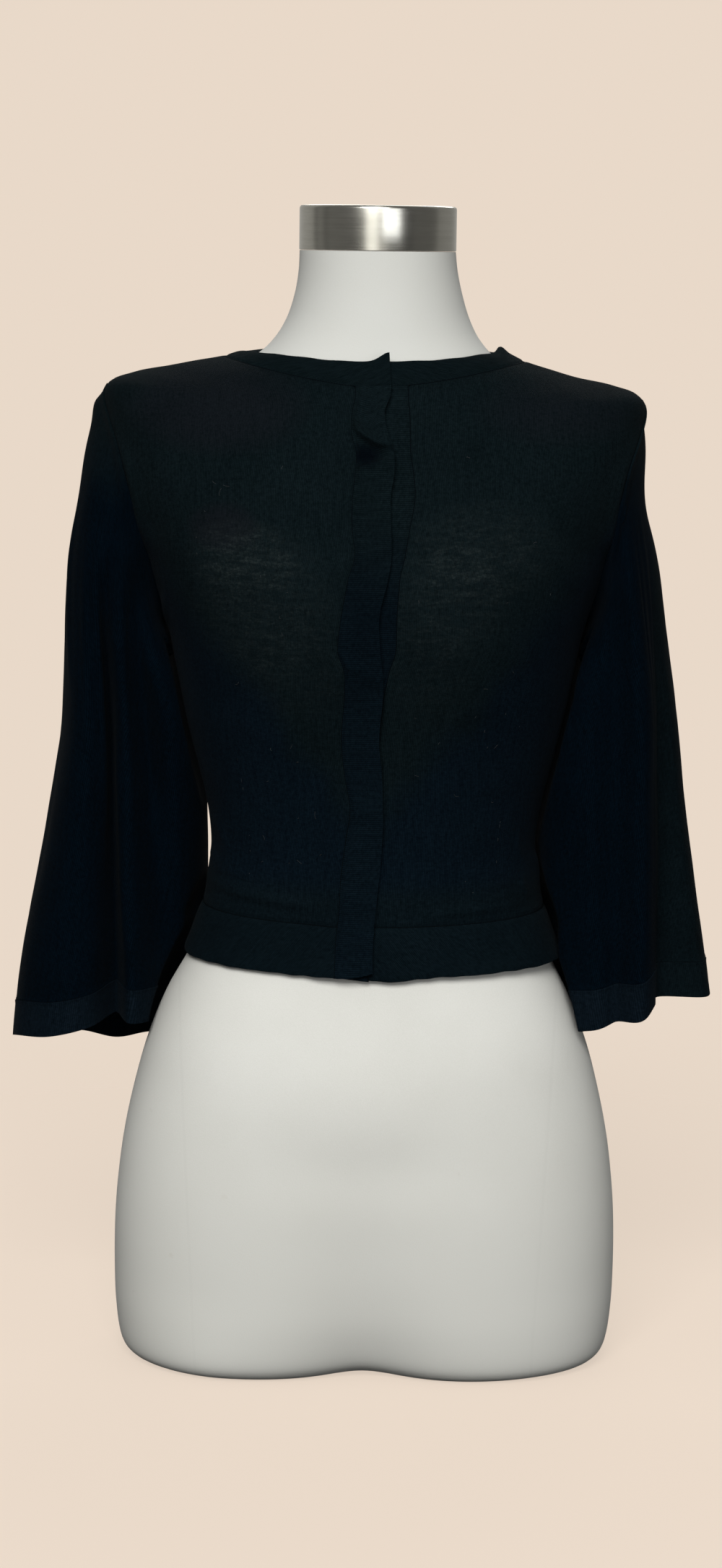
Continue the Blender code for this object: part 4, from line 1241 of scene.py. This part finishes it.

# painted shade in the twist's fold and over the hollow stretch of the band under it
TWIST_SHADE = Patch(-6.5, 620.5, 13, 9, 1)
HOLLOW_SHADE = Patch(-4, 525, 34, 70, 0.28)
THIN_PATCHES = [
    Patch(-86, 555, 40, 26, 0.36), Patch(-72, 524, 52, 54, 0.24), Patch(-48, 482, 42, 38, 0.10),
    Patch(70, 560, 54, 36, 0.26), Patch(48, 528, 46, 42, 0.22), Patch(34, 484, 36, 42, 0.10),
]
PLUM_PATCHES = [
    Patch(-104, 650, 66, 34, 1), Patch(-98, 573, 26, 18, 1), Patch(120, 650, 60, 26, 0.6),
]


def stitches(finish, across, along, width, height):
    """Heights of stocking stitch: columns of small V shapes."""
    column = finish.maths("ABSOLUTE", finish.maths("FRACT", across / width) - 0.5) * 2
    leg = finish.maths("ABSOLUTE", finish.maths("FRACT", along / height + column * 0.5) - 0.5) * 2
    return (1 - column * column) * 0.68 + (1 - leg * leg) * 0.32


def soft_patches(finish, x, z, patches):
    """Soft-edged ovals on the front, each strongest in its middle."""
    total = 0
    for patch in patches:
        across, up = (x - patch.x * MM) / (patch.width * MM), (z - patch.z * MM) / (patch.height * MM)
        total = total + finish.maths("MAXIMUM", 1 - (across * across + up * up), 0) * patch.strength
    return total


def knit_finish(name, width, turned=False, sheer=False, sleeve=False):
    """Fine black knit: stitches, uneven yarn, pale fibres, thin places where it is stretched, and
    painted shade in the band's fold and on the sleeves.
    """
    finish = Finish(name)
    place = finish.where("Object")
    x, y, z = finish.split(place)
    across, along, _ = finish.split(finish.cut())
    if turned:
        across, along = along, across
    knit = stitches(finish, across, along, width, COURSE)
    yarn = finish.noise(finish.cut(), (900, 260, 1), 3, 0.6)
    mottle = finish.noise(finish.cut(), (430, 390, 1), 3, 0.7)
    streak = finish.noise(finish.cut(), STREAKS[turned], 2, 0.5)
    cloud = finish.noise(place, 22, 3, 0.55)
    fibre = finish.noise(place, (620, 620, 992), 4, 0.75, 1.2)
    crumple = finish.noise(place, (120, 90, 330), 3, 0.65, 0.4)
    light = knit * (0.35 + yarn * 0.9) * (0.55 + cloud * 0.9) * (mottle * 2.9 + streak * 1.1 - 1.0)
    pairs = TEAL, NAVY
    if sleeve:
        # greyer near the shoulder and beside the left sleeve's long fold; the sleeves' teal and, above
        # the cuffs, their navy are the body's tones darkened as painted shade
        outer = finish.between(x + z * 0.03 + cloud * 0.004, 0.203, 0.208)
        navy = finish.between(z + cloud * 0.05, 0.67, 0.60) * (1 - outer * 0.8)
        pairs = SHADED_SLEEVE_TEAL, CUFF_NAVY if width == RIB else SHADED_SLEEVE_NAVY
    elif turned:
        navy = finish.between(z + cloud * 0.03, 0.60, 0.52) * 0.75
    else:
        # bluer at the waist and towards the sides
        beside = finish.maths("ABSOLUTE", x) - (z - 0.375) * 0.80 + cloud * 0.05
        navy = finish.between(beside, 0.010, 0.045) * (1 - finish.between(z, 0.345, 0.325) * 0.6)
    dark, pale = (finish.mixed(navy, teal, blue) for teal, blue in zip(*pairs))
    colour = finish.mixed(light, dark, pale)
    if turned:
        # painted shade in the depth of the twist's fold, and over the hollow stretch under it
        shade = soft_patches(finish, x, z, [TWIST_SHADE]) * (0.7 + cloud * 0.4)
        shade = finish.maths("MAXIMUM", shade, soft_patches(finish, x, z, [HOLLOW_SHADE]))
        colour = finish.mixed(shade, colour, PAINTED_SHADE)
    if sheer:
        crepe = finish.noise(place, (60, 1, 230), 4, 0.7, 0.6)
        grit = finish.noise(place, (420, 1, 520), 3, 0.8)
        purple = soft_patches(finish, x, z, PLUM_PATCHES) * light
        colour = finish.mixed(finish.maths("MINIMUM", purple, 0.5), colour, PLUM)
        facing = finish.between(y, 0.0, -40 * MM)
        thin = soft_patches(finish, x, z, THIN_PATCHES) * facing
        thin = thin * (0.2 + finish.between(crepe, 0.38, 0.72))
        thin = thin * (0.3 + finish.between(grit, 0.42, 0.72))
        colour = finish.mixed(finish.maths("MINIMUM", thin, 0.7), colour, KNIT_SHEER)
    colour = finish.mixed(finish.between(fibre, 0.60, 0.80) * 0.13, colour, FIBRE)
    # the crumples are deepest over the bottom band
    relief = knit + fibre * 0.5 + crumple * (1.2 + finish.between(z, 0.38, 0.34) * 1.8)
    finish.set(Base_Color=colour, Roughness=0.95, Normal=finish.bump(relief, 0.24 * MM, 0.8))
    finish.set(Specular_IOR_Level=0.02, Sheen_Weight=0.006, Sheen_Roughness=0.35,
               Sheen_Tint=(0.62, 0.68, 0.72))
    return finish.material


def plain_finish(name, scale, detail, colours, roughness, specular):
    """Yarn or fibres whose colour wanders a little between two."""
    finish = Finish(name)
    strand = finish.noise(finish.where("Object"), scale, detail)
    finish.set(Base_Color=finish.mixed(strand, *colours), Roughness=roughness,
               Specular_IOR_Level=specular)
    return finish.material


def jersey_finish():
    """The form's white cover: fine jersey, drawn tight, with a faint seam, a few marks, and painted
    shade low down and round the neck.
    """
    finish = Finish("form jersey")
    place = finish.where("Object")
    x, _, z = finish.split(place)
    weave = finish.noise(place, (1500, 1500, 1100), 2, 0.6)
    cloud = finish.noise(place, 9, 3, 0.5)
    fleck = finish.between(finish.noise(place, (75, 75, 52.5), 2, 0.5), 0.735, 0.80)
    side_seam = finish.maths("ABSOLUTE", finish.maths("ABSOLUTE", x) - (112 * MM + z * 0.06))
    seam = (1 - finish.between(side_seam, 0.4 * MM, 1.5 * MM)) * finish.between(z, 0.30, 0.26)
    # painted shade: greyer low down and round the neck
    colour = finish.mixed(finish.between(z, 0.03, 0.27), (0.54, 0.54, 0.515), (0.81, 0.81, 0.775))
    colour = finish.mixed(finish.between(z, 0.60, 0.68), colour, (0.59, 0.60, 0.585))
    colour = finish.mixed(1 - cloud * 0.6 - weave * 0.3, colour, (0.52, 0.515, 0.475))
    colour = finish.mixed(fleck * 0.25, colour, (0.42, 0.38, 0.32))
    colour = finish.mixed(seam * 0.04, colour, (0.35, 0.35, 0.33))
    finish.set(Base_Color=colour, Roughness=0.9, Normal=finish.bump(weave - seam * 0.5, 0.12 * MM, 0.5))
    finish.set(Specular_IOR_Level=0.15, Sheen_Weight=0.05, Sheen_Roughness=0.5)
    return finish.material


def steel_finish():
    """Steel brushed round the rim, with fine lines and a few darker streaks."""
    finish = Finish("brushed steel")
    place = finish.where("Object")
    lines = finish.noise(place, (14, 14, 1900), 3, 0.7)
    streaks = finish.noise(place, (40, 40, 260), 2, 0.6)
    colour = finish.mixed(lines * 0.6 + streaks * 0.4, (0.42, 0.41, 0.37), (0.66, 0.65, 0.60))
    finish.set(Base_Color=colour, Roughness=0.17 + lines * 0.12, Metallic=1.0,
               Normal=finish.bump(lines, 0.03 * MM, 0.35))
    return finish.material


def make_materials():
    return {
        "knit": knit_finish("black knit", WALE, sheer=True),
        "rib": knit_finish("black rib", RIB),
        "rib_across": knit_finish("black rib across", RIB, turned=True),
        "sleeve knit": knit_finish("sleeve knit", WALE, sleeve=True),
        "sleeve rib": knit_finish("sleeve rib", RIB, sleeve=True),
        "lint": plain_finish("lint", 60, 1, LINT_GREYS, 0.9, 0.05),
        "linking": plain_finish("linking yarn", 900, 2, YARN_BLACKS, 0.95, 0.02),
        "jersey": jersey_finish(),
        "steel": steel_finish(),
    }


# The studio

BEIGE = (0.812, 0.693, 0.584)


def add_floor():
    """A plain pale floor that fades into the pale room."""
    deselect()
    level = -0.0004             # just under the form, whose underside is at 0
    bpy.ops.mesh.primitive_plane_add(size=8, location=(0, 0, level))
    floor = bpy.context.active_object
    floor.name = "floor"
    bpy.ops.object.transform_apply(location=True, rotation=True, scale=True)
    finish = Finish("pale floor")
    x, y, _ = finish.split(finish.where("Object"))
    reach = (x * x + y * y) ** 0.5
    finish.set(Base_Color=(0.20, 0.17, 0.145), Roughness=1.0, Emission_Color=BEIGE,
               Alpha=finish.between(reach, 1.6, 0.35))
    finish.set(Specular_IOR_Level=0.0, Emission_Strength=0.80)
    floor.data.materials.append(finish.material)
    floor.visible_diffuse = False
    floor.visible_glossy = False


def area_light(name, place, target, size, power, colour):
    """A soft rectangular light that points at a place."""
    light = bpy.data.lights.new(name, "AREA")
    light.shape = "RECTANGLE"
    light.size, light.size_y = size
    light.energy = power
    light.color = colour
    holder = bpy.data.objects.new(name, light)
    holder.location = place
    holder.rotation_euler = (Vector(target) - Vector(place)).to_track_quat("-Z", "Y").to_euler()
    bpy.context.scene.collection.objects.link(holder)


def add_lights():
    """A key light above the camera, a weak fill from the right and a rim light from behind."""
    area_light("key light", (-0.55, -4.65, 3.3), (0, 0, 0.40), (2.8, 2.0), 305, (1.0, 0.995, 0.975))
    area_light("fill light", (1.5, -4.2, 0.8), (0, 0, 0.36), (2.0, 2.0), 30, (0.97, 0.985, 1.0))
    area_light("rim light", (0.3, 2.6, 2.3), (0, 0, 0.5), (2.2, 1.2), 30, (1.0, 0.98, 0.95))


def add_world():
    """A pale room: plain to the camera, dim from below, with bright and dark strips for the steel."""
    world = bpy.data.worlds.new("studio")
    bpy.context.scene.world = world
    world.use_nodes = True
    room = Shader(world.node_tree)
    x, y, z = room.split(room.where("Generated"))
    dim = room.ramp(room.between(z, -0.5, 0.5), [(0, (0.16, 0.155, 0.15)), (1, (1.0, 1.0, 0.985))])
    turn = room.between(room.maths("ARCTAN2", x, y * -1), -math.pi, math.pi, "LINEAR")
    strips = room.ramp(turn, [((degrees + 180) / 360, (grey, grey * 0.98, grey * 0.92))
                              for degrees, grey in ROOM_STRIPS])
    seen, lit, glossy = (
        room.node("ShaderNodeBackground", {}, {"Color": colour, "Strength": strength})
        for colour, strength in ((BEIGE, 1.0), (dim, 0.24), (strips, 1.0)))
    for ray, special in (("Is Glossy Ray", glossy), ("Is Camera Ray", seen)):
        by_ray = room.node("ShaderNodeLightPath", {}, {}, output=ray)
        lit = room.node("ShaderNodeMixShader", {}, {0: by_ray, 1: lit, 2: special})
    room.connect(lit, room.tree.nodes["World Output"].inputs["Surface"])


# Brightness of the room round the steel cap: degrees from straight in front, and a grey
ROOM_STRIPS = [
    (-180, 0.50), (-150, 0.42), (-112, 0.36), (-104, 0.12), (-96, 0.24), (-88, 0.20), (-84, 0.09),
    (-78, 0.17), (-52, 0.14), (-34, 0.11), (-26, 0.22), (-19, 0.20), (-17, 1.6), (-6, 2.0), (0, 1.3),
    (3, 0.45), (13, 0.50), (16, 0.14), (34, 0.15), (40, 0.07), (50, 0.06), (56, 0.12), (84, 0.13),
    (94, 0.14), (100, 0.26), (140, 0.30), (165, 0.45), (180, 0.50),
]


def add_camera():
    """The camera stands straight in front, level with the neck cap, and looks down a little."""
    sideways, distance, height, aimed_at = -0.00632, 2.6, 0.7575, 0.3925
    roll = math.radians(0.78)
    pitch = math.atan2(height - aimed_at, distance)
    data = bpy.data.cameras.new("camera")
    data.sensor_width = 36
    data.lens = 88.81
    data.clip_end = 100
    camera = bpy.data.objects.new("camera", data)
    bpy.context.scene.collection.objects.link(camera)
    turned = Matrix.Rotation(QUARTER - pitch, 4, "X") @ Matrix.Rotation(roll, 4, "Z")
    camera.matrix_world = Matrix.Translation((sideways, -distance, height)) @ turned
    bpy.context.scene.camera = camera


def main():
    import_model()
    deselect()
    bpy.context.scene.view_settings.view_transform = "Standard"
    materials = make_materials()
    seams = []
    add_form(materials)
    add_cap(materials)
    for add_cloth in (add_body, add_front_bands, add_bottom_band, add_neckband, add_sleeves):
        add_cloth(materials, seams)
    add_linking(materials, seams)
    add_lint(materials)
    add_floor()
    add_lights()
    add_world()
    add_camera()


main()
